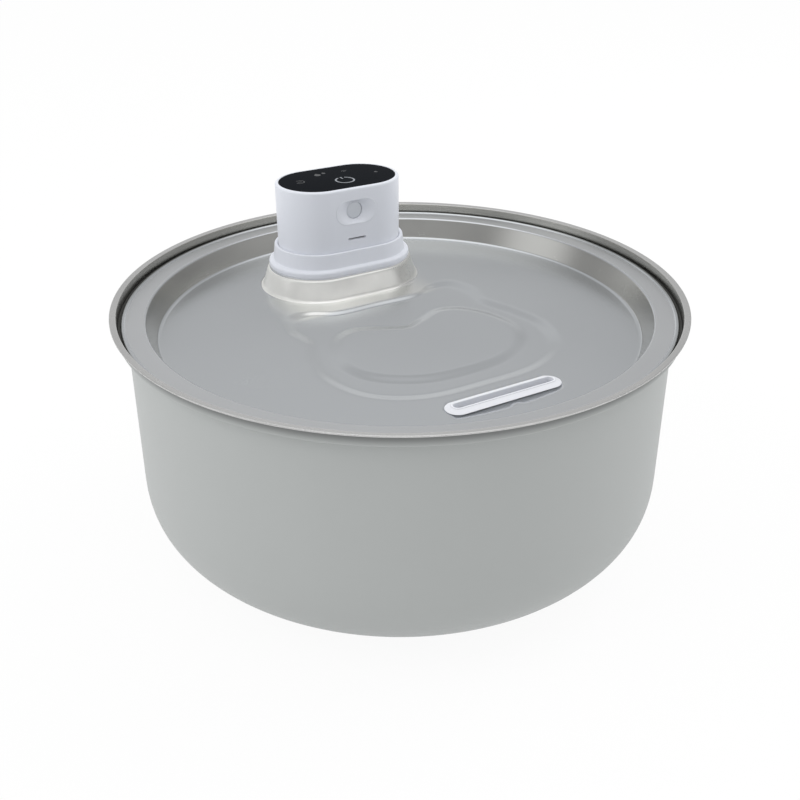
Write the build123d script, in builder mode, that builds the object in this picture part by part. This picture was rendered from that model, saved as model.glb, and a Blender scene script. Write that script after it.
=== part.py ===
from build123d import *
import os
from math import cos, hypot, radians, sin

os.makedirs("parts", exist_ok=True)

# Pet water fountain, in millimetres.  The origin is the centre of the bowl's base on the surface
# that it stands on, +Z is up, the drain at the drinking edge is at -Y and the pump head at +Y.

# Bowl
rim_radius = 160.0
rim_overhang = 8.4
bowl_height = 151.4
bowl_sheet = 1.0
wall_bulge = 1.1
knuckle_height = 54.5
base_flat_radius = 66.0
base_roundness = 2.5
rim_step = 5.9
lip_width = 3.3
lip_rise = 1.7
lip_thickness = 1.5
lip_flat = 0.15
ledge_width = 5.7

# Foot ring under the bowl
foot_thickness = 2.0
foot_margin = 4.0
foot_width = 16.0
foot_edge = 0.6

# Drinking tray
tray_sheet = 0.9
tray_depth = 12.8
tray_edge_clearance = 2.3
tray_flange_width = 12.4
tray_wall_slope = 5.5
tray_bend = 0.72
trough_depth = 1.3
trough_run = 4.6
trough_front_land = 10.8
trough_back_land = 7.05

# Raised boss in the tray, which carries the pump
pump_setback = 60.65
boss_length = 99.4
boss_width = 67.8
boss_height = 12.4
boss_draw_in = 3.8
boss_round = 2.0

# Pump head above the collar
head_length = 77.6
head_width = 48.2
head_height = 47.9
head_wall = 2.0
head_edge_round = 1.2
panel_margin = 2.1
panel_thickness = 1.8
panel_edge_round = 0.3
panel_clearance = 0.15
panel_ledge = 2.0
panel_ledge_thickness = 2.0

# Collar, gasket and clamp ring on the boss
gasket_thickness = 0.6
gasket_margin = 0.5
collar_flange_length = 90.0
collar_flange_width = 58.5
collar_flange_thickness = 4.6
collar_foot_length = 85.0
collar_foot_width = 55.0
collar_bead = 1.9
collar_top_length = 82.0
collar_top_width = 52.5
collar_rise = 13.8
collar_seat = 2.9
collar_skirt_wall = 2.4
collar_skirt_depth = 6.0
clamp_thickness = 3.0
clamp_margin = 4.6
clamp_screw_bite = 2.3
seat_clearance = 0.3
fit_clearance = 0.3

# Stem that reaches down into the water
stem_length = 62.0
stem_width = 40.0
stem_wall = 2.0
stem_bottom = 44.0
stem_flange_thickness = 2.5

# Drive in the stem
axis_offset = 4.0
motor_radius = 11.0
motor_length = 24.0
motor_bore = 4.0
motor_edge_round = 1.0
shaft_radius = 1.0
running_clearance = 0.05
magnet_radius = 9.0
magnet_thickness = 4.0
magnet_gap = 0.8
bracket_thickness = 2.0
bracket_gap = 1.2
bracket_bore_gap = 0.6
bracket_post_radius = 3.0
bracket_post_x = 22.0

# Pump below the stem
pump_bottom = 22.0
pump_wall = 1.8
pump_ledge = 1.0
pump_edge_round = 2.0
spigot_wall = 1.6
spigot_depth = 6.0
volute_plate_thickness = 1.6
volute_plate_height = 6.6
impeller_radius = 10.0
impeller_hub_radius = 4.0
impeller_height = 9.0
impeller_shroud = 4.0
impeller_magnet_height = 2.8
impeller_play = 0.4
washer_radius = 2.3
washer_thickness = 0.5
shaft_boss_radius = 2.6
shaft_boss_height = 1.2
shaft_cap_height = 1.6
volute_wall = 1.2
volute_gap = 0.6
impeller_blades = 6
blade_thickness = 1.2
blade_root = 0.6
blade_setback = 0.1
eye_radius = 4.5
intake_slots = 6
intake_slot_length = 25.2
intake_slot_width = 2.4
intake_slot_pitch = 7.0

# Water duct from the pump to the outlet slit
duct_length = 16.0
duct_depth = 6.2
duct_wall = 1.0
duct_gap = 1.0
outlet_rise = 17.2
outlet_length = 12.0
outlet_slit = 1.3
nozzle_margin = 1.2

# Presence sensor in the front of the head
sensor_drop = 14.3
sensor_recess_length = 26.0
sensor_recess_height = 14.4
sensor_recess_depth = 4.6
lens_radius = 5.75
lens_seat_radius = 4.8
lens_thickness = 1.6
lens_edge_flat = 0.32
sensor_wall = 1.6
sensor_board_length = 18.2

# Charging socket at the back of the head
port_rise = 26.2
port_length = 9.0
port_thickness = 3.4
port_depth = 7.4
flap_length = 17.0
flap_height = 9.0
flap_thickness = 1.6
flap_barrel_radius = 1.0
flap_pin_radius = 0.45
flap_pin_reach = 1.8
flap_gap = 0.2
pad_depth = 2.6
pad_side = 2.5
pad_rise = 2.0
port_gap = 0.05
port_flat = 0.1
port_shell = 0.4
port_tongue_length = 6.3
port_tongue_thickness = 0.64
port_tongue_setback = 1.0
charge_board_length = 14.4
charge_board_height = 8.84

# Seal under the housing
seal_thickness = 0.8
seal_inset = 0.4
seal_width = 1.4

# Electronics and battery in the head
battery_length = 52.0
battery_width = 26.0
battery_thickness = 10.5
battery_gap = 0.75
battery_shift = 1.0
holder_thickness = 1.6
holder_lip = 3.0
holder_rim = 1.2
holder_leg_x = 32.0
holder_leg_thickness = 3.6
holder_leg_width = 10.0
battery_corner = 2.0
board_thickness = 1.6
board_margin = 0.6
chip_size = 9.0
chip_height = 1.0
chip_x = 14.0
chip_shift = 4.0

# Drain insert and filter under it
drain_setback = 32.3
drain_length = 67.4
drain_width = 13.4
drain_height = 2.0
drain_round = 1.1
drain_slot_length = 59.6
drain_slot_width = 5.6
drain_skirt_wall = 1.7
drain_skirt_depth = 7.0
filter_length = 80.0
filter_width = 28.0
filter_wall = 1.6
filter_depth = 40.0
filter_seat_thickness = 2.0
filter_spigot_depth = 4.0
foam_thickness = 8.0
filter_corner = 4.0
filter_edge_round = 1.28
filter_spigot_corner = 1.8
filter_gap = 1.2
filter_slots = 9
filter_slot_length = 18.6
filter_slot_width = 2.4

# Screws
screw_radius = 1.0
screw_head_radius = 2.0
screw_head_height = 1.2
screw_length = 9.0
screw_end_gap = 0.5
screw_slot_length = 2.6
screw_slot_width = 0.6
screw_hole_gap = 0.05
screw_post_radius = 2.7

# Heights and places that follow from the sizes above
wall_top_radius = rim_radius - rim_overhang
wall_low_radius = wall_top_radius + wall_bulge
foot_outer_radius = base_flat_radius - foot_margin
foot_inner_radius = foot_outer_radius - foot_width
ledge_height = bowl_height - rim_step
ledge_radius = wall_top_radius - bowl_sheet + ledge_width
tray_top = ledge_height + tray_sheet
floor_top = tray_top - tray_depth
floor_under = floor_top - tray_sheet
tray_radius = ledge_radius - tray_edge_clearance
tray_wall_top_radius = tray_radius - tray_flange_width
tray_wall_low_radius = tray_wall_top_radius - tray_wall_slope
head_y = tray_wall_low_radius - pump_setback
drain_y = drain_setback - tray_wall_low_radius
trough_front = drain_y + drain_width / 2 + trough_front_land
trough_back = head_y - boss_width / 2 - trough_back_land
boss_top = floor_top + boss_height
collar_base = boss_top + gasket_thickness
collar_top = collar_base + collar_rise
seat_height = collar_base + collar_seat
head_base = seat_height + seat_clearance
flange_top = head_base + stem_flange_thickness
head_top = head_base + head_height
outlet_height = head_base + outlet_rise
sensor_height = head_top - sensor_drop
port_height = head_base + port_rise
chip_y = head_y + chip_shift
stem_floor = stem_bottom + stem_wall
drive_y = head_y + axis_offset
head_front = head_y - head_width / 2
head_back = head_y + head_width / 2
skirt_length = stem_length + 2 * fit_clearance + 2 * collar_skirt_wall
skirt_width = stem_width + 2 * fit_clearance + 2 * collar_skirt_wall
stem_inner_length = stem_length - 2 * stem_wall
stem_inner_width = stem_width - 2 * stem_wall
drain_hole_length = drain_slot_length + 2 * drain_skirt_wall + 2 * fit_clearance
drain_hole_width = drain_slot_width + 2 * drain_skirt_wall + 2 * fit_clearance

edge_tolerance = 0.01


def slot(length, width):
    """Obround about the head's own centre line."""
    with Locations((0, head_y)):
        SlotOverall(length, width)


def drain_slot(length, width):
    """Obround about the drain's centre."""
    with Locations((0, drain_y)):
        SlotOverall(length, width)


def corner_spots(end_x, radius):
    """Four places at 45 degrees round the ends of an obround about the head's centre line."""
    across = end_x + radius * sin(radians(45))
    along = radius * cos(radians(45))
    return [(i * across, head_y + j * along) for i in (-1, 1) for j in (-1, 1)]


def screws(spots, seat, direction, length):
    """Pan-head screws whose heads lie on a seat and whose shanks run on in the given direction."""
    with BuildPart() as group:
        with BuildSketch(Plane.XY.offset(seat)):
            with Locations(*spots):
                Circle(screw_head_radius)
        extrude(amount=-direction * screw_head_height)
        with BuildSketch(Plane.XY.offset(seat)):
            with Locations(*spots):
                Circle(screw_radius)
        extrude(amount=direction * length)
        with BuildSketch(Plane.XY.offset(seat - direction * screw_head_height)):
            with Locations(*spots):
                Rectangle(screw_slot_length, screw_slot_width)
                Rectangle(screw_slot_width, screw_slot_length)
        extrude(amount=direction * screw_head_height / 2, mode=Mode.SUBTRACT)
    return group.part


clamp_screw_ring = skirt_width / 2 + fit_clearance + screw_head_radius
clamp_screw_spots = corner_spots((skirt_length - skirt_width) / 2, clamp_screw_ring)
head_screw_ring = stem_width / 2 + screw_head_radius + fit_clearance
head_screw_spots = corner_spots((stem_length - stem_width) / 2, head_screw_ring)


def bowl_curve(flat, reach, bottom, height, steps=9):
    """Points of the rounded bottom of the bowl, from its flat base up to the wall."""
    points = []
    for step in range(steps + 1):
        turn = radians(90 * step / steps)
        across = flat + reach * sin(turn) ** (2 / base_roundness)
        up = bottom + height * (1 - cos(turn) ** (2 / base_roundness))
        points.append((across, up))
    return points


# Stamped bowl: rounded bottom, nearly straight wall, ledge for the tray and a flared lip
with BuildPart() as bowl:
    with BuildSketch(Plane.XZ):
        with BuildLine():
            outer_low = (base_flat_radius, foot_thickness)
            knuckle_outer = (wall_low_radius, knuckle_height)
            outer_top = (wall_top_radius, ledge_height - bowl_sheet)
            riser_outer = ledge_radius + bowl_sheet
            lip_foot = bowl_height - lip_rise - lip_thickness
            Line((0, foot_thickness), outer_low)
            Spline(
                *bowl_curve(
                    base_flat_radius,
                    wall_low_radius - base_flat_radius,
                    foot_thickness,
                    knuckle_height - foot_thickness,
                ),
                tangents=[(1, 0), (0, 1)],
            )
            Line(knuckle_outer, outer_top)
            Line(outer_top, (riser_outer, ledge_height - bowl_sheet))
            Line((riser_outer, ledge_height - bowl_sheet), (riser_outer, lip_foot))
            Line((riser_outer, lip_foot), (rim_radius, bowl_height - lip_thickness))
            Line((rim_radius, bowl_height - lip_thickness), (rim_radius, bowl_height))
            Line((rim_radius, bowl_height), (rim_radius - lip_width, bowl_height - lip_rise))
            Line((rim_radius - lip_width, bowl_height - lip_rise), (ledge_radius, ledge_height))
            inner_top = (wall_top_radius - bowl_sheet, ledge_height)
            knuckle_inner = (wall_low_radius - bowl_sheet, knuckle_height)
            Line((ledge_radius, ledge_height), inner_top)
            Line(inner_top, knuckle_inner)
            Spline(
                *bowl_curve(
                    base_flat_radius,
                    wall_low_radius - bowl_sheet - base_flat_radius,
                    foot_thickness + bowl_sheet,
                    knuckle_height - foot_thickness - bowl_sheet,
                )[::-1],
                tangents=[(0, -1), (-1, 0)],
            )
            Line((base_flat_radius, foot_thickness + bowl_sheet), (0, foot_thickness + bowl_sheet))
            Line((0, foot_thickness + bowl_sheet), (0, foot_thickness))
        make_face()
    revolve(axis=Axis.Z)
    rim_edges = bowl.edges().filter_by(GeomType.CIRCLE).filter_by(
        lambda e: abs(e.radius - rim_radius) < edge_tolerance
    )
    fillet(rim_edges, (lip_thickness - lip_flat) / 2)

bowl.part.label = "bowl"
export_step(bowl.part, "parts/bowl.step")

# Soft ring under the bowl, which it stands on
with BuildPart() as foot_ring:
    with BuildSketch():
        Circle(foot_outer_radius)
        Circle(foot_inner_radius, mode=Mode.SUBTRACT)
    extrude(amount=foot_thickness)
    fillet(foot_ring.edges().group_by(Axis.Z)[0], foot_edge)

foot_ring.part.label = "foot_ring"
export_step(foot_ring.part, "parts/foot_ring.step")

# Outlines of the water trough pressed into the tray and of the island that it runs around: the right
# half of each, as places across and along from the trough's front edge
trough_half = [
    (0, 0),
    (34.0, 2.5),
    (58.0, 17.5),
    (68.0, 43.0),
    (64.5, 67.0),
    (58.0, 87.0),
    (60.0, 105.0),
    (54.0, 120.5),
    (40.0, 121.5),
    (26.0, 114.5),
    (0, 114.5),
]
island_half = [
    (0, 16.0),
    (26.0, 19.5),
    (46.0, 33.0),
    (53.5, 51.0),
    (49.5, 71.0),
    (39.5, 85.0),
    (27.0, 89.0),
    (12.0, 82.5),
    (0, 78.0),
]
drawn_length = max(along for across, along in trough_half)
trough_stretch = (trough_back - trough_front) / drawn_length


def closed_outline(half):
    """Whole outline in its place on the tray, from its right half."""
    right = [(across, trough_front + along * trough_stretch) for across, along in half]
    left = [(-across, along) for across, along in right[-2:0:-1]]
    return right + left


def inset(outline, distance):
    """Closed outline moved inwards by a distance, point by point."""
    moved = []
    for index, (across, along) in enumerate(outline):
        before = outline[index - 1]
        after = outline[(index + 1) % len(outline)]
        step_x = after[0] - before[0]
        step_y = after[1] - before[1]
        size = hypot(step_x, step_y)
        moved.append((across - step_y / size * distance, along + step_x / size * distance))
    return moved


def outline_loft(low_outline, low, high_outline, high):
    """Solid between two closed smooth outlines at two heights."""
    with BuildPart() as block:
        with BuildSketch(Plane.XY.offset(low)):
            with BuildLine():
                Spline(*low_outline, periodic=True)
            make_face()
        with BuildSketch(Plane.XY.offset(high)):
            with BuildLine():
                Spline(*high_outline, periodic=True)
            make_face()
        loft()
    return block.part


trough_outline = closed_outline(trough_half)
island_outline = closed_outline(island_half)
trough_mouth = inset(trough_outline, -trough_run / 2)
trough_floor = inset(trough_outline, trough_run / 2)
island_foot = inset(island_outline, -trough_run / 2)
island_crown = inset(island_outline, trough_run / 2)

trough_bottom = floor_top - trough_depth
trough_underside = outline_loft(trough_floor, trough_bottom - tray_sheet, trough_mouth, floor_under)
trough_hollow = outline_loft(trough_floor, trough_bottom, trough_mouth, floor_top)
island_block = outline_loft(island_foot, trough_bottom - tray_sheet / 2, island_crown, floor_top)
island_hollow = outline_loft(island_foot, trough_bottom - tray_sheet * 1.5, island_crown, floor_under)

# Drinking tray: flange on the bowl's ledge, sloping wall, floor with its trough, and the pump boss
with BuildPart() as drinking_tray:
    with BuildSketch(Plane.XZ):
        with BuildLine():
            Line((0, floor_under), (tray_wall_low_radius, floor_under))
            Line((tray_wall_low_radius, floor_under), (tray_wall_top_radius, ledge_height))
            Line((tray_wall_top_radius, ledge_height), (tray_radius, ledge_height))
            Line((tray_radius, ledge_height), (tray_radius, tray_top))
            wall_inner_top = (tray_wall_top_radius - tray_sheet, tray_top)
            wall_inner_low = (tray_wall_low_radius - tray_sheet, floor_top)
            Line((tray_radius, tray_top), wall_inner_top)
            Line(wall_inner_top, wall_inner_low)
            Line(wall_inner_low, (0, floor_top))
            Line((0, floor_top), (0, floor_under))
        make_face()
    revolve(axis=Axis.Z)
    bend_edges = drinking_tray.edges().filter_by(GeomType.CIRCLE).filter_by(
        lambda e: e.radius < tray_wall_top_radius + edge_tolerance
    )
    fillet(bend_edges, tray_bend)
    # Underside of the trough
    add(trough_underside)
    # Raised boss
    with BuildSketch(Plane.XY.offset(floor_under)):
        slot(boss_length, boss_width)
    with BuildSketch(Plane.XY.offset(boss_top)):
        slot(boss_length - 2 * boss_draw_in, boss_width - 2 * boss_draw_in)
    loft()
    boss_edges = drinking_tray.edges().filter_by(lambda e: abs(e.center().Z - boss_top) < edge_tolerance)
    fillet(boss_edges, boss_round)
    # Inside of the boss, and the hole in its top for the collar's skirt
    with BuildSketch(Plane.XY.offset(floor_under)):
        slot(boss_length - 2 * tray_sheet, boss_width - 2 * tray_sheet)
    with BuildSketch(Plane.XY.offset(boss_top - tray_sheet)):
        slot(
            boss_length - 2 * boss_draw_in - 2 * tray_sheet - boss_round,
            boss_width - 2 * boss_draw_in - 2 * tray_sheet - boss_round,
        )
    loft(mode=Mode.SUBTRACT)
    with BuildSketch(Plane.XY.offset(boss_top)):
        slot(skirt_length + 2 * fit_clearance, skirt_width + 2 * fit_clearance)
    extrude(amount=-tray_sheet, mode=Mode.SUBTRACT)
    with BuildSketch(Plane.XY.offset(boss_top)):
        with Locations(*clamp_screw_spots):
            Circle(screw_radius + fit_clearance)
    extrude(amount=-tray_sheet, mode=Mode.SUBTRACT)
    # Inside of the trough, around the island
    add(trough_hollow, mode=Mode.SUBTRACT)
    # Island, left standing at the level of the floor
    add(island_block)
    add(island_hollow, mode=Mode.SUBTRACT)
    # Hole for the drain insert
    with BuildSketch(Plane.XY.offset(floor_top)):
        drain_slot(drain_hole_length, drain_hole_width)
    extrude(amount=-2 * tray_sheet, mode=Mode.SUBTRACT)

drinking_tray.part.label = "drinking_tray"
export_step(drinking_tray.part, "parts/drinking_tray.step")

# Silicone gasket between the boss and the collar
with BuildPart() as collar_gasket:
    with BuildSketch(Plane.XY.offset(boss_top)):
        slot(
            boss_length - 2 * boss_draw_in - 2 * boss_round - 2 * gasket_margin,
            boss_width - 2 * boss_draw_in - 2 * boss_round - 2 * gasket_margin,
        )
        with Locations((0, head_y)):
            SlotOverall(
                skirt_length + 2 * fit_clearance,
                skirt_width + 2 * fit_clearance,
                mode=Mode.SUBTRACT,
            )
        with Locations(*clamp_screw_spots):
            Circle(screw_radius + fit_clearance, mode=Mode.SUBTRACT)
    extrude(amount=gasket_thickness)

collar_gasket.part.label = "collar_gasket"
export_step(collar_gasket.part, "parts/collar_gasket.step")

# Collar: beaded flange, tapering wall with the head's socket, and a skirt through the boss
with BuildPart() as collar:
    with BuildSketch(Plane.XY.offset(collar_base)):
        slot(collar_flange_length, collar_flange_width)
    extrude(amount=collar_flange_thickness)
    fillet(collar.edges().group_by(Axis.Z)[-1], collar_bead)
    with BuildSketch(Plane.XY.offset(collar_base)):
        slot(collar_foot_length, collar_foot_width)
    with BuildSketch(Plane.XY.offset(collar_top)):
        slot(collar_top_length, collar_top_width)
    loft()
    with BuildSketch(Plane.XY.offset(collar_base)):
        slot(skirt_length, skirt_width)
    extrude(amount=-collar_skirt_depth)
    with BuildSketch(Plane.XY.offset(collar_top)):
        slot(head_length + 2 * fit_clearance, head_width + 2 * fit_clearance)
    extrude(amount=seat_height - collar_top, mode=Mode.SUBTRACT)
    with BuildSketch(Plane.XY.offset(seat_height)):
        slot(stem_length + 2 * fit_clearance, stem_width + 2 * fit_clearance)
    extrude(amount=-collar_seat - collar_skirt_depth, mode=Mode.SUBTRACT)
    with BuildSketch(Plane.XY.offset(collar_base)):
        with Locations(*clamp_screw_spots):
            Circle(screw_radius + screw_hole_gap)
    extrude(amount=clamp_screw_bite, mode=Mode.SUBTRACT)

collar.part.label = "collar"
export_step(collar.part, "parts/collar.step")

# Ring that clamps the collar to the boss from below
clamp_top = boss_top - tray_sheet
clamp_bottom = clamp_top - clamp_thickness
with BuildPart() as clamp_ring:
    with BuildSketch(Plane.XY.offset(clamp_bottom)):
        slot(skirt_length + 2 * clamp_margin, skirt_width + 2 * clamp_margin)
        with Locations((0, head_y)):
            SlotOverall(
                skirt_length + 2 * fit_clearance,
                skirt_width + 2 * fit_clearance,
                mode=Mode.SUBTRACT,
            )
        with Locations(*clamp_screw_spots):
            Circle(screw_radius + screw_hole_gap, mode=Mode.SUBTRACT)
    extrude(amount=clamp_thickness)

clamp_ring.part.label = "clamp_ring"
export_step(clamp_ring.part, "parts/clamp_ring.step")

clamp_screw_length = clamp_thickness + tray_sheet + gasket_thickness + clamp_screw_bite - screw_hole_gap
clamp_screws = screws(clamp_screw_spots, clamp_bottom, 1, clamp_screw_length)
clamp_screws.label = "clamp_screws"
export_step(clamp_screws, "parts/clamp_screws.step")

# Casing of the stem, with the flange that closes the head and the spigot for the pump cover
duct_front = head_y - stem_inner_width / 2 + duct_gap
duct_y = duct_front + duct_depth / 2
pump_inner_length = stem_length - 2 * pump_wall
pump_inner_width = stem_width - 2 * pump_wall
spigot_length = pump_inner_length - 2 * fit_clearance
spigot_width = pump_inner_width - 2 * fit_clearance
magnet_bottom = stem_floor + magnet_gap
bracket_bottom = magnet_bottom + magnet_thickness + bracket_gap
bracket_top = bracket_bottom + bracket_thickness
boss_low = stem_bottom - shaft_boss_height
with BuildPart() as stem_casing:
    with BuildSketch(Plane.XY.offset(stem_bottom)):
        slot(stem_length, stem_width)
    extrude(amount=head_base - stem_bottom)
    with BuildSketch(Plane.XY.offset(head_base)):
        slot(head_length, head_width)
    extrude(amount=stem_flange_thickness)
    with BuildSketch(Plane.XY.offset(stem_floor)):
        slot(stem_inner_length, stem_inner_width)
    extrude(amount=flange_top - stem_floor, mode=Mode.SUBTRACT)
    with BuildSketch(Plane.XY.offset(stem_bottom)):
        slot(spigot_length, spigot_width)
        with Locations((0, head_y)):
            SlotOverall(
                spigot_length - 2 * spigot_wall,
                spigot_width - 2 * spigot_wall,
                mode=Mode.SUBTRACT,
            )
        with Locations((0, drive_y)):
            Circle(shaft_boss_radius)
    extrude(amount=-spigot_depth)
    with BuildSketch(Plane.XY.offset(boss_low)):
        with Locations((0, drive_y)):
            Circle(shaft_boss_radius)
    extrude(amount=boss_low - stem_bottom - spigot_depth, mode=Mode.SUBTRACT)
    with BuildSketch(Plane.XY.offset(boss_low)):
        with Locations((0, drive_y)):
            Circle(shaft_radius + screw_hole_gap / 2)
    extrude(amount=shaft_boss_height + stem_wall / 2, mode=Mode.SUBTRACT)
    with BuildSketch(Plane.XY.offset(stem_bottom)):
        with Locations((0, duct_y)):
            Rectangle(duct_length - 2 * duct_wall, duct_depth - 2 * duct_wall)
    extrude(amount=stem_wall, mode=Mode.SUBTRACT)
    with BuildSketch(Plane.XY.offset(stem_floor)):
        with Locations((-bracket_post_x, head_y), (bracket_post_x, head_y)):
            Circle(bracket_post_radius)
            Circle(screw_radius + screw_hole_gap, mode=Mode.SUBTRACT)
    extrude(amount=bracket_bottom - stem_floor)
    with BuildSketch(Plane.XY.offset(head_base)):
        with Locations(*head_screw_spots):
            Circle(screw_head_radius + screw_hole_gap)
    extrude(amount=screw_head_height, mode=Mode.SUBTRACT)
    with BuildSketch(Plane.XY.offset(head_base)):
        with Locations(*head_screw_spots):
            Circle(screw_radius + screw_hole_gap)
    extrude(amount=stem_flange_thickness, mode=Mode.SUBTRACT)

stem_casing.part.label = "stem_casing"
export_step(stem_casing.part, "parts/stem_casing.step")

# Head housing: walls, ledge for the touch panel, sensor recess, outlet slit and charging recess
housing_base = flange_top + seal_thickness
head_inner_length = head_length - 2 * head_wall
head_inner_width = head_width - 2 * head_wall
panel_length = head_length - 2 * panel_margin
panel_width = head_width - 2 * panel_margin
panel_base = head_top - panel_thickness
ledge_base = panel_base - panel_ledge_thickness
pad_front = head_back - head_wall - pad_depth
flap_recess_depth = flap_thickness + flap_gap
flap_axis_y = head_back - flap_barrel_radius
flap_axis_z = port_height - flap_height / 2 + flap_barrel_radius
pin_bore_length = flap_length + 2 * (flap_pin_reach + flap_gap)
with BuildPart() as head_housing:
    with BuildSketch(Plane.XY.offset(housing_base)):
        slot(head_length, head_width)
    extrude(amount=head_top - housing_base)
    fillet(head_housing.edges().group_by(Axis.Z)[-1], head_edge_round)
    with BuildSketch(Plane.XY.offset(housing_base)):
        slot(head_inner_length, head_inner_width)
    extrude(amount=ledge_base - housing_base, mode=Mode.SUBTRACT)
    with BuildSketch(Plane.XY.offset(ledge_base)):
        slot(panel_length - 2 * panel_ledge, panel_width - 2 * panel_ledge)
    extrude(amount=panel_ledge_thickness, mode=Mode.SUBTRACT)
    with BuildSketch(Plane.XY.offset(panel_base)):
        slot(panel_length + 2 * panel_clearance, panel_width + 2 * panel_clearance)
    extrude(amount=panel_thickness, mode=Mode.SUBTRACT)
    # Posts for the screws that hold the casing
    with BuildSketch(Plane.XY.offset(housing_base)):
        with Locations(*head_screw_spots):
            Circle(screw_post_radius)
            Circle(screw_radius + screw_hole_gap, mode=Mode.SUBTRACT)
    extrude(amount=screw_length)
    # Well of the sensor recess, then the recess and the lens hole
    with BuildSketch(Plane.XZ.offset(-head_front - head_wall / 2)):
        with Locations((0, sensor_height)):
            SlotOverall(sensor_recess_length + 2 * sensor_wall, sensor_recess_height + 2 * sensor_wall)
    extrude(amount=-(sensor_recess_depth + sensor_wall - head_wall / 2))
    with BuildSketch(Plane.XZ.offset(-head_front)):
        with Locations((0, sensor_height)):
            SlotOverall(sensor_recess_length, sensor_recess_height)
    extrude(amount=-sensor_recess_depth, mode=Mode.SUBTRACT)
    with BuildSketch(Plane.XZ.offset(-head_front)):
        with Locations((0, sensor_height)):
            Circle(lens_seat_radius + screw_hole_gap)
    extrude(amount=-(sensor_recess_depth + sensor_wall), mode=Mode.SUBTRACT)
    # Outlet slit
    with BuildSketch(Plane.XZ.offset(-head_front)):
        with Locations((0, outlet_height)):
            SlotOverall(outlet_length, outlet_slit)
    extrude(amount=-head_wall, mode=Mode.SUBTRACT)
    # Pad for the charging socket, the recess for its flap and the socket's hole
    with BuildSketch(Plane.XZ.offset(-head_back + head_wall / 2)):
        with Locations((0, port_height)):
            Rectangle(flap_length + 2 * pad_side, flap_height + 2 * pad_rise)
    extrude(amount=head_back - head_wall / 2 - pad_front)
    with BuildSketch(Plane.XZ.offset(-head_back)):
        with Locations((0, port_height)):
            Rectangle(flap_length + 2 * fit_clearance, flap_height + 2 * fit_clearance)
    extrude(amount=flap_recess_depth, mode=Mode.SUBTRACT)
    with BuildSketch(Plane.YZ.offset(-flap_length / 2 - fit_clearance)):
        with Locations((flap_axis_y, flap_axis_z)):
            Circle(flap_barrel_radius + fit_clearance)
    extrude(amount=flap_length + 2 * fit_clearance, mode=Mode.SUBTRACT)
    with BuildSketch(Plane.YZ.offset(-pin_bore_length / 2)):
        with Locations((flap_axis_y, flap_axis_z)):
            Circle(flap_pin_radius + running_clearance)
    extrude(amount=pin_bore_length, mode=Mode.SUBTRACT)
    with BuildSketch(Plane.XZ.offset(-head_back)):
        with Locations((0, port_height)):
            RectangleRounded(
                port_length + 2 * port_gap,
                port_thickness + 2 * port_gap,
                port_thickness / 2 + port_gap - port_flat,
            )
    extrude(amount=head_back - pad_front, mode=Mode.SUBTRACT)

head_housing.part.label = "head_housing"
export_step(head_housing.part, "parts/head_housing.step")

# Seal between the housing and the casing's flange
with BuildPart() as housing_seal:
    with BuildSketch(Plane.XY.offset(flange_top)):
        slot(head_length - 2 * seal_inset, head_width - 2 * seal_inset)
        with Locations((0, head_y)):
            SlotOverall(
                head_length - 2 * seal_inset - 2 * seal_width,
                head_width - 2 * seal_inset - 2 * seal_width,
                mode=Mode.SUBTRACT,
            )
    extrude(amount=seal_thickness)

housing_seal.part.label = "housing_seal"
export_step(housing_seal.part, "parts/housing_seal.step")

head_screw_seat = head_base + screw_head_height
head_screw_length = flange_top - head_screw_seat + screw_length - screw_end_gap
housing_screws = screws(head_screw_spots, head_screw_seat, 1, head_screw_length)
housing_screws.label = "housing_screws"
export_step(housing_screws, "parts/housing_screws.step")

# Black glass-look panel with the touch keys
with BuildPart() as touch_panel:
    with BuildSketch(Plane.XY.offset(panel_base)):
        slot(panel_length, panel_width)
    extrude(amount=panel_thickness)
    fillet(touch_panel.edges().group_by(Axis.Z)[-1], panel_edge_round)

touch_panel.part.label = "touch_panel"
export_step(touch_panel.part, "parts/touch_panel.step")

# Control board under the panel's ledge, with its processor and driver chips
board_top = ledge_base
board_length = head_inner_length - 2 * board_margin
board_width = head_inner_width - 2 * board_margin
with BuildPart() as control_board:
    with BuildSketch(Plane.XY.offset(board_top)):
        slot(board_length, board_width)
    extrude(amount=-board_thickness)
    with BuildSketch(Plane.XY.offset(board_top - board_thickness)):
        with Locations((-chip_x, chip_y), (chip_x, chip_y)):
            Rectangle(chip_size, chip_size)
    extrude(amount=-chip_height)

control_board.part.label = "control_board"
export_step(control_board.part, "parts/control_board.step")

# Battery pack and the holder that stands on the casing's flange
battery_y = head_y - battery_shift
duct_top = outlet_height + outlet_slit / 2 + duct_wall
holder_base = duct_top + battery_gap
holder_top = holder_base + holder_thickness
with BuildPart() as battery_holder:
    with BuildSketch(Plane.XY.offset(holder_base)):
        with Locations((0, battery_y)):
            Rectangle(battery_length + 2 * holder_rim + 2 * fit_clearance, battery_width)
        with Locations((0, head_y)):
            Rectangle(2 * holder_leg_x + holder_leg_thickness, holder_leg_width)
    extrude(amount=holder_thickness)
    with BuildSketch(Plane.XY.offset(holder_top)):
        for side in (-1, 1):
            with Locations((side * (battery_length + holder_rim + 2 * fit_clearance) / 2, battery_y)):
                Rectangle(holder_rim, battery_width)
    extrude(amount=holder_lip)
    with BuildSketch(Plane.XY.offset(flange_top)):
        with Locations((-holder_leg_x, head_y), (holder_leg_x, head_y)):
            Rectangle(holder_leg_thickness, holder_leg_width)
    extrude(amount=holder_base - flange_top)

battery_holder.part.label = "battery_holder"
export_step(battery_holder.part, "parts/battery_holder.step")

with BuildPart() as battery_pack:
    with BuildSketch(Plane.XY.offset(holder_top)):
        with Locations((0, battery_y)):
            RectangleRounded(battery_length, battery_width, battery_corner)
    extrude(amount=battery_thickness)

battery_pack.part.label = "battery_pack"
export_step(battery_pack.part, "parts/battery_pack.step")

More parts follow.
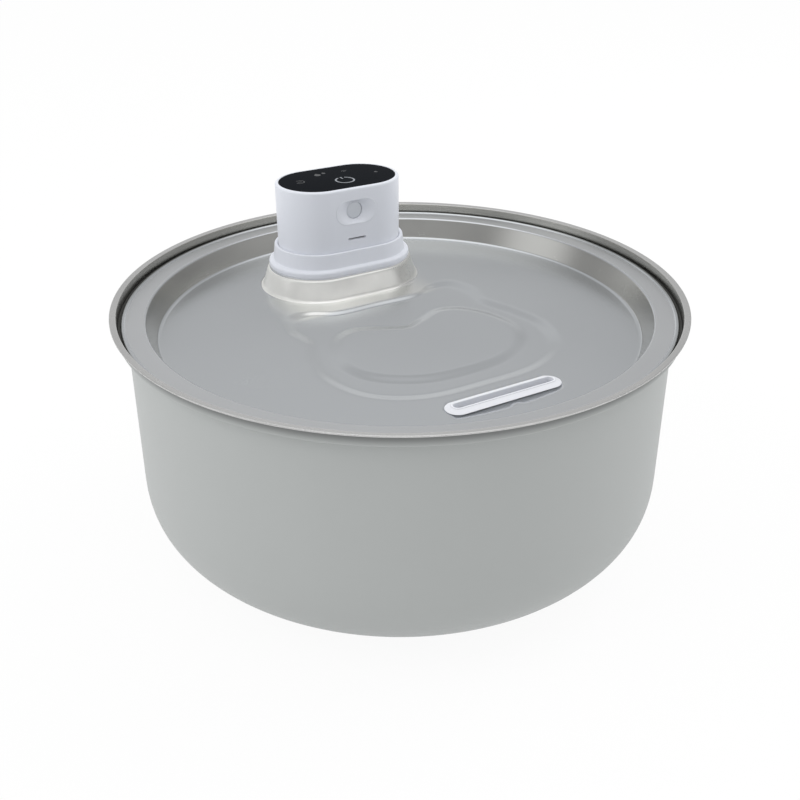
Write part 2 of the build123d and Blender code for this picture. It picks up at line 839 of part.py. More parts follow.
# Lens of the presence sensor and the board behind it
recess_floor_y = head_front + sensor_recess_depth
well_back_y = recess_floor_y + sensor_wall
with BuildPart() as sensor_lens:
    with BuildSketch(Plane.XZ.offset(-recess_floor_y)):
        with Locations((0, sensor_height)):
            Circle(lens_radius)
    extrude(amount=lens_thickness)
    fillet(sensor_lens.edges().sort_by(Axis.Y)[0], lens_thickness - lens_edge_flat)
    with BuildSketch(Plane.XZ.offset(-recess_floor_y)):
        with Locations((0, sensor_height)):
            Circle(lens_seat_radius)
    extrude(amount=-sensor_wall)

sensor_lens.part.label = "sensor_lens"
export_step(sensor_lens.part, "parts/sensor_lens.step")

with BuildPart() as sensor_board:
    with BuildSketch(Plane.XZ.offset(-well_back_y)):
        with Locations((0, sensor_height)):
            Rectangle(sensor_board_length, sensor_recess_height)
    extrude(amount=-board_thickness)

sensor_board.part.label = "sensor_board"
export_step(sensor_board.part, "parts/sensor_board.step")

# Charging socket, its board, and the rubber flap that hinges down from it
port_mouth_y = head_back - flap_recess_depth - flap_gap
port_back_y = port_mouth_y - port_depth
with BuildPart() as charge_port:
    with BuildSketch(Plane.XZ.offset(-port_mouth_y)):
        with Locations((0, port_height)):
            RectangleRounded(port_length, port_thickness, port_thickness / 2 - port_flat)
    extrude(amount=port_depth)
    with BuildSketch(Plane.XZ.offset(-port_mouth_y)):
        with Locations((0, port_height)):
            RectangleRounded(
                port_length - 2 * port_shell,
                port_thickness - 2 * port_shell,
                port_thickness / 2 - port_shell - port_flat,
            )
    extrude(amount=port_depth - port_shell, mode=Mode.SUBTRACT)
    with BuildSketch(Plane.XZ.offset(-port_mouth_y + port_tongue_setback)):
        with Locations((0, port_height)):
            Rectangle(port_tongue_length, port_tongue_thickness)
    extrude(amount=port_depth - port_tongue_setback)

charge_port.part.label = "charge_port"
export_step(charge_port.part, "parts/charge_port.step")

with BuildPart() as charge_board:
    with BuildSketch(Plane.XZ.offset(-port_back_y)):
        with Locations((0, port_height)):
            Rectangle(charge_board_length, charge_board_height)
    extrude(amount=board_thickness / 2)

charge_board.part.label = "charge_board"
export_step(charge_board.part, "parts/charge_board.step")

with BuildPart() as port_flap:
    with BuildSketch(Plane.XZ.offset(-head_back)):
        with Locations((0, port_height + flap_barrel_radius / 2)):
            Rectangle(flap_length, flap_height - flap_barrel_radius)
    extrude(amount=flap_thickness)
    with BuildSketch(Plane.YZ.offset(-flap_length / 2)):
        with Locations((flap_axis_y, flap_axis_z)):
            Circle(flap_barrel_radius)
    extrude(amount=flap_length)
    with BuildSketch(Plane.YZ.offset(-flap_length / 2)):
        with Locations((flap_axis_y, flap_axis_z)):
            Circle(flap_pin_radius + running_clearance)
    extrude(amount=flap_length, mode=Mode.SUBTRACT)

port_flap.part.label = "port_flap"
export_step(port_flap.part, "parts/port_flap.step")

with BuildPart() as flap_pin:
    with BuildSketch(Plane.YZ.offset(-flap_length / 2 - flap_pin_reach)):
        with Locations((flap_axis_y, flap_axis_z)):
            Circle(flap_pin_radius)
    extrude(amount=flap_length + 2 * flap_pin_reach)

flap_pin.part.label = "flap_pin"
export_step(flap_pin.part, "parts/flap_pin.step")

# Motor bracket on its posts, the motor, its shaft and the driving magnet
with BuildPart() as motor_bracket:
    with BuildSketch(Plane.XY.offset(bracket_bottom)):
        with Locations((0, head_y)):
            SlotOverall(stem_inner_length - 2 * fit_clearance, stem_inner_width - 2 * fit_clearance)
        with Locations((0, drive_y)):
            Circle(shaft_radius + bracket_bore_gap, mode=Mode.SUBTRACT)
        with Locations((0, duct_y - duct_gap)):
            Rectangle(
                duct_length + 2 * fit_clearance,
                duct_depth + 2 * duct_gap + 2 * fit_clearance,
                mode=Mode.SUBTRACT,
            )
        with Locations((-bracket_post_x, head_y), (bracket_post_x, head_y)):
            Circle(screw_radius + screw_hole_gap, mode=Mode.SUBTRACT)
    extrude(amount=bracket_thickness)

motor_bracket.part.label = "motor_bracket"
export_step(motor_bracket.part, "parts/motor_bracket.step")

bracket_screw_length = bracket_top - stem_floor - screw_end_gap
bracket_screws = screws(
    [(-bracket_post_x, head_y), (bracket_post_x, head_y)],
    bracket_top,
    -1,
    bracket_screw_length,
)
bracket_screws.label = "bracket_screws"
export_step(bracket_screws, "parts/bracket_screws.step")

with BuildPart() as drive_motor:
    with BuildSketch(Plane.XY.offset(bracket_top)):
        with Locations((0, drive_y)):
            Circle(motor_radius)
    extrude(amount=motor_length)
    fillet(drive_motor.edges().group_by(Axis.Z)[-1], motor_edge_round)
    with BuildSketch(Plane.XY.offset(bracket_top)):
        with Locations((0, drive_y)):
            Circle(shaft_radius + running_clearance)
    extrude(amount=motor_bore, mode=Mode.SUBTRACT)

drive_motor.part.label = "drive_motor"
export_step(drive_motor.part, "parts/drive_motor.step")

with BuildPart() as motor_shaft:
    with BuildSketch(Plane.XY.offset(magnet_bottom)):
        with Locations((0, drive_y)):
            Circle(shaft_radius)
    extrude(amount=bracket_top - magnet_bottom + motor_bore - fit_clearance)

motor_shaft.part.label = "motor_shaft"
export_step(motor_shaft.part, "parts/motor_shaft.step")

with BuildPart() as drive_magnet:
    with BuildSketch(Plane.XY.offset(magnet_bottom)):
        with Locations((0, drive_y)):
            Circle(magnet_radius)
            Circle(shaft_radius, mode=Mode.SUBTRACT)
    extrude(amount=magnet_thickness)

drive_magnet.part.label = "drive_magnet"
export_step(drive_magnet.part, "parts/drive_magnet.step")

# Duct that carries the water up to the outlet, and the nozzle behind the slit
inner_front_y = head_front + head_wall
with BuildPart() as water_duct:
    with BuildSketch(Plane.XY.offset(stem_floor)):
        with Locations((0, duct_y)):
            Rectangle(duct_length, duct_depth)
    extrude(amount=duct_top - stem_floor)
    with BuildSketch(Plane.XY.offset(stem_floor)):
        with Locations((0, duct_y)):
            Rectangle(duct_length - 2 * duct_wall, duct_depth - 2 * duct_wall)
    extrude(amount=duct_top - duct_wall - stem_floor, mode=Mode.SUBTRACT)
    with BuildSketch(Plane.XZ.offset(-duct_front)):
        with Locations((0, outlet_height)):
            Rectangle(outlet_length, outlet_slit)
    extrude(amount=-duct_wall, mode=Mode.SUBTRACT)

water_duct.part.label = "water_duct"
export_step(water_duct.part, "parts/water_duct.step")

with BuildPart() as outlet_nozzle:
    with BuildSketch(Plane.XZ.offset(-inner_front_y)):
        with Locations((0, outlet_height)):
            Rectangle(outlet_length + 2 * nozzle_margin, outlet_slit + 2 * nozzle_margin)
            Rectangle(outlet_length, outlet_slit, mode=Mode.SUBTRACT)
    extrude(amount=inner_front_y - duct_front)

outlet_nozzle.part.label = "outlet_nozzle"
export_step(outlet_nozzle.part, "parts/outlet_nozzle.step")

# Impeller on its fixed ceramic shaft under the casing
impeller_top = boss_low - washer_thickness - impeller_play
impeller_bottom = impeller_top - impeller_height
cap_top = impeller_bottom - impeller_play
shaft_end = cap_top - shaft_cap_height / 2
blade_reach = impeller_radius - impeller_hub_radius + blade_root - blade_setback
with BuildPart() as impeller_shaft:
    with BuildSketch(Plane.XY.offset(shaft_end)):
        with Locations((0, drive_y)):
            Circle(shaft_radius)
    extrude(amount=stem_bottom + stem_wall / 2 - shaft_end - screw_hole_gap)

impeller_shaft.part.label = "impeller_shaft"
export_step(impeller_shaft.part, "parts/impeller_shaft.step")

with BuildPart() as thrust_washer:
    with BuildSketch(Plane.XY.offset(boss_low - washer_thickness)):
        with Locations((0, drive_y)):
            Circle(washer_radius)
            Circle(shaft_radius + screw_hole_gap / 2, mode=Mode.SUBTRACT)
    extrude(amount=washer_thickness)

thrust_washer.part.label = "thrust_washer"
export_step(thrust_washer.part, "parts/thrust_washer.step")

with BuildPart() as shaft_cap:
    with BuildSketch(Plane.XY.offset(cap_top)):
        with Locations((0, drive_y)):
            Circle(washer_radius)
    extrude(amount=-shaft_cap_height)
    with BuildSketch(Plane.XY.offset(cap_top)):
        with Locations((0, drive_y)):
            Circle(shaft_radius + screw_hole_gap / 2)
    extrude(amount=-shaft_cap_height / 2, mode=Mode.SUBTRACT)

shaft_cap.part.label = "shaft_cap"
export_step(shaft_cap.part, "parts/shaft_cap.step")

with BuildPart() as impeller:
    with BuildSketch(Plane.XY.offset(impeller_bottom)):
        with Locations((0, drive_y)):
            Circle(impeller_hub_radius)
    extrude(amount=impeller_height)
    with BuildSketch(Plane.XY.offset(impeller_top - impeller_shroud)):
        with Locations((0, drive_y)):
            Circle(impeller_radius)
    extrude(amount=impeller_shroud)
    with BuildSketch(Plane.XY.offset(impeller_bottom)):
        with Locations((0, drive_y)):
            with PolarLocations((impeller_hub_radius + impeller_radius - blade_root) / 2, impeller_blades):
                Rectangle(blade_reach, blade_thickness)
    extrude(amount=impeller_height - impeller_shroud)
    with BuildSketch(Plane.XY.offset(impeller_top)):
        with Locations((0, drive_y)):
            Circle(impeller_radius - blade_thickness)
            Circle(impeller_hub_radius, mode=Mode.SUBTRACT)
    extrude(amount=-impeller_magnet_height, mode=Mode.SUBTRACT)
    with BuildSketch(Plane.XY.offset(impeller_bottom)):
        with Locations((0, drive_y)):
            Circle(shaft_radius + running_clearance)
    extrude(amount=impeller_height, mode=Mode.SUBTRACT)

impeller.part.label = "impeller"
export_step(impeller.part, "parts/impeller.step")

with BuildPart() as impeller_magnet:
    with BuildSketch(Plane.XY.offset(impeller_top - impeller_magnet_height)):
        with Locations((0, drive_y)):
            Circle(impeller_radius - blade_thickness - running_clearance)
            Circle(impeller_hub_radius + running_clearance, mode=Mode.SUBTRACT)
    extrude(amount=impeller_magnet_height)

impeller_magnet.part.label = "impeller_magnet"
export_step(impeller_magnet.part, "parts/impeller_magnet.step")

# Pump cover that plugs onto the spigot, with the intake slots in its floor
plate_bottom = pump_bottom + volute_plate_height
with BuildPart() as pump_cover:
    with BuildSketch(Plane.XY.offset(pump_bottom)):
        slot(stem_length, stem_width)
    extrude(amount=stem_bottom - pump_bottom)
    fillet(pump_cover.edges().group_by(Axis.Z)[0], pump_edge_round)
    with BuildSketch(Plane.XY.offset(pump_bottom + pump_wall)):
        slot(pump_inner_length - 2 * pump_ledge, pump_inner_width - 2 * pump_ledge)
    extrude(amount=stem_bottom - pump_bottom, mode=Mode.SUBTRACT)
    with BuildSketch(Plane.XY.offset(plate_bottom)):
        slot(pump_inner_length, pump_inner_width)
    extrude(amount=stem_bottom - pump_bottom, mode=Mode.SUBTRACT)
    with BuildSketch(Plane.XY.offset(pump_bottom)):
        with Locations((0, head_y)):
            with GridLocations(intake_slot_pitch, 1, intake_slots, 1):
                SlotOverall(intake_slot_length, intake_slot_width, rotation=90)
    extrude(amount=pump_wall, mode=Mode.SUBTRACT)

pump_cover.part.label = "pump_cover"
export_step(pump_cover.part, "parts/pump_cover.step")

# Volute: plate with the inlet eye and the wall round the impeller, open towards the duct
plate_top = plate_bottom + volute_plate_thickness
volute_inner_radius = impeller_radius + volute_gap
with BuildPart() as volute:
    with BuildSketch(Plane.XY.offset(plate_bottom)):
        slot(pump_inner_length - 2 * fit_clearance, pump_inner_width - 2 * fit_clearance)
        with Locations((0, drive_y)):
            Circle(eye_radius, mode=Mode.SUBTRACT)
    extrude(amount=volute_plate_thickness)
    with BuildSketch(Plane.XY.offset(plate_top)):
        with Locations((0, drive_y)):
            Circle(volute_inner_radius + volute_wall)
            Circle(volute_inner_radius, mode=Mode.SUBTRACT)
        with Locations((0, drive_y - volute_inner_radius)):
            Rectangle(volute_inner_radius, volute_inner_radius, mode=Mode.SUBTRACT)
    extrude(amount=impeller_top - plate_top - impeller_play)

volute.part.label = "volute"
export_step(volute.part, "parts/volute.step")

with BuildPart() as intake_foam:
    with BuildSketch(Plane.XY.offset(pump_bottom + pump_wall)):
        slot(
            pump_inner_length - 2 * pump_ledge - 2 * fit_clearance,
            pump_inner_width - 2 * pump_ledge - 2 * fit_clearance,
        )
    extrude(amount=plate_bottom - pump_bottom - pump_wall - fit_clearance)

intake_foam.part.label = "intake_foam"
export_step(intake_foam.part, "parts/intake_foam.step")

# Drain insert: beaded flange on the tray's floor, slot and skirt
with BuildPart() as drain_insert:
    with BuildSketch(Plane.XY.offset(floor_top)):
        drain_slot(drain_length, drain_width)
    extrude(amount=drain_height)
    with BuildSketch(Plane.XY.offset(floor_top)):
        drain_slot(drain_hole_length - 2 * fit_clearance, drain_hole_width - 2 * fit_clearance)
    extrude(amount=-drain_skirt_depth)
    with BuildSketch(Plane.XY.offset(floor_top - drain_skirt_depth)):
        drain_slot(drain_slot_length, drain_slot_width)
    extrude(amount=drain_skirt_depth + drain_height, mode=Mode.SUBTRACT)
    fillet(drain_insert.edges().group_by(Axis.Z)[-1], drain_round)

drain_insert.part.label = "drain_insert"
export_step(drain_insert.part, "parts/drain_insert.step")

# Seat under the tray that the filter box plugs onto
filter_top = floor_under - filter_seat_thickness
filter_floor = filter_top - filter_depth
filter_inner_length = filter_length - 2 * filter_wall
filter_inner_width = filter_width - 2 * filter_wall
with BuildPart() as filter_seat:
    with BuildSketch(Plane.XY.offset(filter_top)):
        with Locations((0, drain_y)):
            RectangleRounded(filter_length, filter_width, filter_corner)
        drain_slot(drain_hole_length, drain_hole_width)
    extrude(amount=filter_seat_thickness)
    with BuildSketch(Plane.XY.offset(filter_top)):
        with Locations((0, drain_y)):
            RectangleRounded(
                filter_inner_length - 2 * fit_clearance,
                filter_inner_width - 2 * fit_clearance,
                filter_corner - filter_wall,
            )
            RectangleRounded(
                filter_inner_length - 2 * fit_clearance - 2 * filter_wall,
                filter_inner_width - 2 * fit_clearance - 2 * filter_wall,
                filter_spigot_corner,
                mode=Mode.SUBTRACT,
            )
    extrude(amount=-filter_spigot_depth)
    with BuildSketch(Plane.XY.offset(filter_top)):
        drain_slot(drain_hole_length, drain_hole_width)
    extrude(amount=filter_seat_thickness, mode=Mode.SUBTRACT)

filter_seat.part.label = "filter_seat"
export_step(filter_seat.part, "parts/filter_seat.step")

# Filter box with a slotted floor, and the cartridge and foam that lie in it
with BuildPart() as filter_box:
    with BuildSketch(Plane.XY.offset(filter_floor)):
        with Locations((0, drain_y)):
            RectangleRounded(filter_length, filter_width, filter_corner)
    extrude(amount=filter_depth)
    fillet(filter_box.edges().group_by(Axis.Z)[0], filter_edge_round)
    with BuildSketch(Plane.XY.offset(filter_floor + filter_wall)):
        with Locations((0, drain_y)):
            RectangleRounded(filter_inner_length, filter_inner_width, filter_corner - filter_wall)
    extrude(amount=filter_depth, mode=Mode.SUBTRACT)
    with BuildSketch(Plane.XY.offset(filter_floor)):
        with Locations((0, drain_y)):
            with GridLocations(filter_inner_length / filter_slots, 1, filter_slots, 1):
                SlotOverall(filter_slot_length, filter_slot_width, rotation=90)
    extrude(amount=filter_wall, mode=Mode.SUBTRACT)

filter_box.part.label = "filter_box"
export_step(filter_box.part, "parts/filter_box.step")

foam_top = floor_top - drain_skirt_depth - filter_gap
foam_base = foam_top - foam_thickness
with BuildPart() as filter_foam:
    with BuildSketch(Plane.XY.offset(foam_base)):
        with Locations((0, drain_y)):
            RectangleRounded(
                filter_inner_length - 2 * fit_clearance,
                filter_inner_width - 2 * fit_clearance,
                filter_corner - filter_wall,
            )
    extrude(amount=foam_thickness)

filter_foam.part.label = "filter_foam"
export_step(filter_foam.part, "parts/filter_foam.step")

with BuildPart() as filter_cartridge:
    with BuildSketch(Plane.XY.offset(filter_floor + filter_wall)):
        with Locations((0, drain_y)):
            RectangleRounded(
                filter_inner_length - 2 * fit_clearance,
                filter_inner_width - 2 * fit_clearance,
                filter_corner - filter_wall,
            )
    extrude(amount=foam_base - filter_floor - filter_wall)

filter_cartridge.part.label = "filter_cartridge"
export_step(filter_cartridge.part, "parts/filter_cartridge.step")
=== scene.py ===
import math

import bmesh
import bpy
import numpy as np
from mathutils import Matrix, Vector
from mathutils.geometry import delaunay_2d_cdt


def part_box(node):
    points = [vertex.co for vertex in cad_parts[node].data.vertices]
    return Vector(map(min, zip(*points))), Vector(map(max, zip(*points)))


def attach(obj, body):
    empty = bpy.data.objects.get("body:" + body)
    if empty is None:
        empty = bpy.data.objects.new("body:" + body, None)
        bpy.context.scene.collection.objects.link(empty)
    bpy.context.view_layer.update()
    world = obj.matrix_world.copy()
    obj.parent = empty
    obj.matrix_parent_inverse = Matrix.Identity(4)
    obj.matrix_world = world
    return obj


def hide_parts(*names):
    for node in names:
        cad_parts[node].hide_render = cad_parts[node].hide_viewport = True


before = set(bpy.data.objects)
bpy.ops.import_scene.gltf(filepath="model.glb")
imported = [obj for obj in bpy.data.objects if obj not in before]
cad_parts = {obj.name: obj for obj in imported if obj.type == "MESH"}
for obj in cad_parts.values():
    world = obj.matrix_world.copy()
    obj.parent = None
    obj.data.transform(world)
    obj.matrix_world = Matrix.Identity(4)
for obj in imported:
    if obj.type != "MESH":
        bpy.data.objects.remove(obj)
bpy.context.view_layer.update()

# Camera.  It looks down on the fountain from the left of the drinking edge, at a little over
# half a metre, so that the tray, the head's front and the near side of the bowl all show.
mm = 0.001
camera_place = Vector((-261.7, -454.5, 372.3)) * mm
camera_aim = Vector((0, 0, 80.84)) * mm
camera_data = bpy.data.cameras.new("camera")
camera_data.sensor_width = 36
camera_data.lens = 44.92
camera = bpy.data.objects.new("camera", camera_data)
camera.location = camera_place
camera.rotation_mode = "QUATERNION"
camera.rotation_quaternion = (camera_aim - camera_place).to_track_quat("-Z", "Y")
bpy.context.scene.collection.objects.link(camera)
bpy.context.scene.camera = camera
bpy.context.scene.view_settings.view_transform = "Standard"


# Bowl.  It is drawn from one steel sheet: rounded bottom, nearly straight wall, a step out to the
# ledge that carries the tray, and a flared lip.  The outside is sprayed, the rest is bare steel.
def rounded(corners, steps=6, margin=0.25):
    """Profile through corners (across, up, radius), each rounded by an arc of that radius.  A short
    straight piece on both sides of an arc keeps the shading of the flats flat."""
    spots = [np.array(corner[:2], float) for corner in corners]
    bends = []
    for index in range(1, len(corners) - 1):
        radius = corners[index][2]
        before = spots[index - 1] - spots[index]
        after = spots[index + 1] - spots[index]
        before /= np.linalg.norm(before)
        after /= np.linalg.norm(after)
        half = math.acos(np.clip(before @ after, -1, 1)) / 2
        bends.append((before, after, half, radius / math.tan(half)))
    line = [spots[0]]
    for index, (before, after, half, reach) in enumerate(bends, 1):
        corner = spots[index]
        radius = corners[index][2]
        if radius == 0:
            line.append(corner)
            continue
        inwards = (before + after) / np.linalg.norm(before + after)
        middle = corner + inwards * radius / math.sin(half)
        first = corner + before * reach - middle
        last = corner + after * reach - middle
        sweep = math.pi - 2 * half
        line.append(corner + before * (reach + margin))
        for step in range(steps + 1):
            share = step / steps
            blend = first * math.sin((1 - share) * sweep) + last * math.sin(share * sweep)
            line.append(middle + blend / math.sin(sweep))
        line.append(corner + after * (reach + margin))
    line.append(spots[-1])
    return line


def turned_ring(mesh, across, up, segments):
    """Ring of vertices about Z, in millimetres; on the axis it is one vertex, repeated."""
    if across == 0:
        return [mesh.verts.new((0, 0, up * mm))] * segments
    ring = []
    for index in range(segments):
        turn = 2 * math.pi * index / segments
        x = across * math.cos(turn) * mm
        y = across * math.sin(turn) * mm
        ring.append(mesh.verts.new((x, y, up * mm)))
    return ring


def bridge(mesh, rings, closed=False):
    """Smooth faces from each ring of vertices to the next; closed joins the last to the first."""
    for row in range(len(rings) if closed else len(rings) - 1):
        ring = rings[row]
        above = rings[(row + 1) % len(rings)]
        for index in range(len(ring)):
            after = (index + 1) % len(ring)
            corners = dict.fromkeys((ring[index], ring[after], above[after], above[index]))
            if len(corners) > 2:
                mesh.faces.new(list(corners)).smooth = True


def piece_from(mesh, name):
    """Turns a finished bmesh into an object in the scene."""
    data = bpy.data.meshes.new(name)
    mesh.to_mesh(data)
    mesh.free()
    piece = bpy.data.objects.new(name, data)
    bpy.context.scene.collection.objects.link(piece)
    return piece


def rounded_bottom(flat, reach, bottom, rise, steps=28):
    """Curve of the bowl's bottom, from its flat base up to the wall."""
    fullness = 2.5
    line = []
    for step in range(steps + 1):
        turn = math.pi / 2 * step / steps
        across = flat + reach * math.sin(turn) ** (2 / fullness)
        up = bottom + rise * (1 - math.cos(turn) ** (2 / fullness))
        line.append(np.array((across, up)))
    return line


sheet = 1.0
base_radius = 66.0
foot_radius = 152.7
shoulder_radius = 151.6
riser_radius = 156.3
lip_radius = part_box("bowl")[1].x / mm - 0.05
base_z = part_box("bowl")[0].z / mm
bend_z = 54.5
ledge_z = 145.5
lip_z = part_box("bowl")[1].z / mm + 1.2
bottom_reach = foot_radius - base_radius
bottom_rise = bend_z - base_z
bowl_outside = rounded_bottom(base_radius, bottom_reach, base_z, bottom_rise)
bowl_inside = rounded_bottom(base_radius, bottom_reach - sheet, base_z + sheet, bottom_rise - sheet)
bowl_profile = [np.array((0, base_z))] + bowl_outside + rounded([
    (foot_radius - 0.02, bend_z + 1, 0),
    (shoulder_radius, ledge_z - sheet, 1.2),
    (riser_radius + sheet, ledge_z - sheet, 1.0),
    (riser_radius + sheet, lip_z - 1.9, 0.6),
    (lip_radius, lip_z - 0.95, 0.35),
    (lip_radius, lip_z, 0.35),
    (riser_radius + 0.1, lip_z - 0.45, 0.6),
    (riser_radius, ledge_z, 0.8),
    (shoulder_radius - sheet, ledge_z, 1.2),
    (foot_radius - sheet, bend_z + 1, 0),
]) + bowl_inside[::-1] + [np.array((0, base_z + sheet))]
bowl_segments = 320
bowl_mesh = bmesh.new()
bowl_rings = [turned_ring(bowl_mesh, across, up, bowl_segments) for across, up in bowl_profile]
bridge(bowl_mesh, bowl_rings)
bowl = piece_from(bowl_mesh, "steel_bowl")


def grain_group():
    """Cloudy variation of roughness, with a fine bump, for any moulded, sprayed or rolled skin."""
    tree = bpy.data.node_groups.new("surface_grain", "ShaderNodeTree")
    for name, value in (("Cloud scale", 12.0), ("Grain scale", 900.0), ("Stretch", 1.0),
                        ("Low", 0.3), ("High", 0.4), ("Bump", 0.05)):
        socket = tree.interface.new_socket(name, in_out="INPUT", socket_type="NodeSocketFloat")
        socket.default_value = value
    tree.interface.new_socket("Roughness", in_out="OUTPUT", socket_type="NodeSocketFloat")
    tree.interface.new_socket("Cloud", in_out="OUTPUT", socket_type="NodeSocketFloat")
    tree.interface.new_socket("Normal", in_out="OUTPUT", socket_type="NodeSocketVector")
    inlet = tree.nodes.new("NodeGroupInput")
    outlet = tree.nodes.new("NodeGroupOutput")
    place = tree.nodes.new("ShaderNodeTexCoord")
    squeeze = tree.nodes.new("ShaderNodeCombineXYZ")
    squeeze.inputs["Y"].default_value = 1.0
    squeeze.inputs["Z"].default_value = 1.0
    tree.links.new(inlet.outputs["Stretch"], squeeze.inputs["X"])
    scaled = tree.nodes.new("ShaderNodeVectorMath")
    scaled.operation = "MULTIPLY"
    tree.links.new(place.outputs["Object"], scaled.inputs[0])
    tree.links.new(squeeze.outputs["Vector"], scaled.inputs[1])
    cloud = tree.nodes.new("ShaderNodeTexNoise")
    cloud.inputs["Detail"].default_value = 4.0
    tree.links.new(place.outputs["Object"], cloud.inputs["Vector"])
    tree.links.new(inlet.outputs["Cloud scale"], cloud.inputs["Scale"])
    grain = tree.nodes.new("ShaderNodeTexNoise")
    grain.inputs["Detail"].default_value = 3.0
    tree.links.new(scaled.outputs["Vector"], grain.inputs["Vector"])
    tree.links.new(inlet.outputs["Grain scale"], grain.inputs["Scale"])
    mixed = tree.nodes.new("ShaderNodeMath")
    mixed.operation = "MULTIPLY_ADD"
    mixed.inputs[1].default_value = 0.35
    tree.links.new(grain.outputs["Fac"], mixed.inputs[0])
    halved = tree.nodes.new("ShaderNodeMath")
    halved.operation = "MULTIPLY"
    halved.inputs[1].default_value = 0.65
    tree.links.new(cloud.outputs["Fac"], halved.inputs[0])
    tree.links.new(halved.outputs["Value"], mixed.inputs[2])
    spread = tree.nodes.new("ShaderNodeMapRange")
    spread.inputs["From Min"].default_value = 0.32
    spread.inputs["From Max"].default_value = 0.68
    tree.links.new(mixed.outputs["Value"], spread.inputs["Value"])
    tree.links.new(inlet.outputs["Low"], spread.inputs["To Min"])
    tree.links.new(inlet.outputs["High"], spread.inputs["To Max"])
    bump = tree.nodes.new("ShaderNodeBump")
    bump.inputs["Distance"].default_value = 0.0001
    tree.links.new(grain.outputs["Fac"], bump.inputs["Height"])
    tree.links.new(inlet.outputs["Bump"], bump.inputs["Strength"])
    tree.links.new(spread.outputs["Result"], outlet.inputs["Roughness"])
    tree.links.new(cloud.outputs["Fac"], outlet.inputs["Cloud"])
    tree.links.new(bump.outputs["Normal"], outlet.inputs["Normal"])
    return tree


surface_grain = grain_group()


def finish_material(name, dark, light, metallic=0.0, coat=0.0, **grain_values):
    """Principled material whose colour drifts between two tones and whose roughness is grained."""
    material = bpy.data.materials.new(name)
    material.use_nodes = True
    nodes = material.node_tree.nodes
    links = material.node_tree.links
    surface = nodes["Principled BSDF"]
    surface.inputs["Metallic"].default_value = metallic
    surface.inputs["Coat Weight"].default_value = coat
    grain = nodes.new("ShaderNodeGroup")
    grain.node_tree = surface_grain
    for key, value in grain_values.items():
        grain.inputs[key.replace("_", " ").capitalize()].default_value = value
    tone = nodes.new("ShaderNodeMix")
    tone.data_type = "RGBA"
    tone.inputs["A"].default_value = (*dark, 1)
    tone.inputs["B"].default_value = (*light, 1)
    links.new(grain.outputs["Cloud"], tone.inputs["Factor"])
    links.new(tone.outputs["Result"], surface.inputs["Base Color"])
    links.new(grain.outputs["Roughness"], surface.inputs["Roughness"])
    links.new(grain.outputs["Normal"], surface.inputs["Normal"])
    return material


def band_group():
    """Soft weight by the distance from a plane: 0 at one distance and 1 at another."""
    tree = bpy.data.node_groups.new("soft_band", "ShaderNodeTree")
    tree.interface.new_socket("Axis", in_out="INPUT", socket_type="NodeSocketVector")
    for name in ("Middle", "None at", "Full at"):
        tree.interface.new_socket(name, in_out="INPUT", socket_type="NodeSocketFloat")
    tree.interface.new_socket("Weight", in_out="OUTPUT", socket_type="NodeSocketFloat")
    inlet = tree.nodes.new("NodeGroupInput")
    outlet = tree.nodes.new("NodeGroupOutput")
    place = tree.nodes.new("ShaderNodeTexCoord")
    along = tree.nodes.new("ShaderNodeVectorMath")
    along.operation = "DOT_PRODUCT"
    tree.links.new(place.outputs["Object"], along.inputs[0])
    tree.links.new(inlet.outputs["Axis"], along.inputs[1])
    away = tree.nodes.new("ShaderNodeMath")
    away.operation = "SUBTRACT"
    tree.links.new(along.outputs["Value"], away.inputs[0])
    tree.links.new(inlet.outputs["Middle"], away.inputs[1])
    distance = tree.nodes.new("ShaderNodeMath")
    distance.operation = "ABSOLUTE"
    tree.links.new(away.outputs["Value"], distance.inputs[0])
    weight = tree.nodes.new("ShaderNodeMapRange")
    weight.interpolation_type = "SMOOTHSTEP"
    tree.links.new(distance.outputs["Value"], weight.inputs["Value"])
    tree.links.new(inlet.outputs["None at"], weight.inputs["From Min"])
    tree.links.new(inlet.outputs["Full at"], weight.inputs["From Max"])
    tree.links.new(weight.outputs["Result"], outlet.inputs["Weight"])
    return tree


soft_band = band_group()


def band_weight(material, axis, middle, none_at, full_at):
    """Weight socket of a soft band on a material; the places are in millimetres."""
    band = material.node_tree.nodes.new("ShaderNodeGroup")
    band.node_tree = soft_band
    band.inputs["Axis"].default_value = axis
    for name, value in (("Middle", middle), ("None at", none_at), ("Full at", full_at)):
        band.inputs[name].default_value = value * mm
    return band.outputs["Weight"]


def blend_colour(material, weight, colour, blend_type):
    """Blends a colour into a material's own colour, by a weight socket."""
    links = material.node_tree.links
    base = material.node_tree.nodes["Principled BSDF"].inputs["Base Color"]
    blend = material.node_tree.nodes.new("ShaderNodeMix")
    blend.data_type = "RGBA"
    blend.blend_type = blend_type
    blend.inputs["B"].default_value = (*colour, 1)
    links.new(weight, blend.inputs["Factor"])
    links.new(base.links[0].from_socket, blend.inputs["A"])
    links.new(blend.outputs["Result"], base)


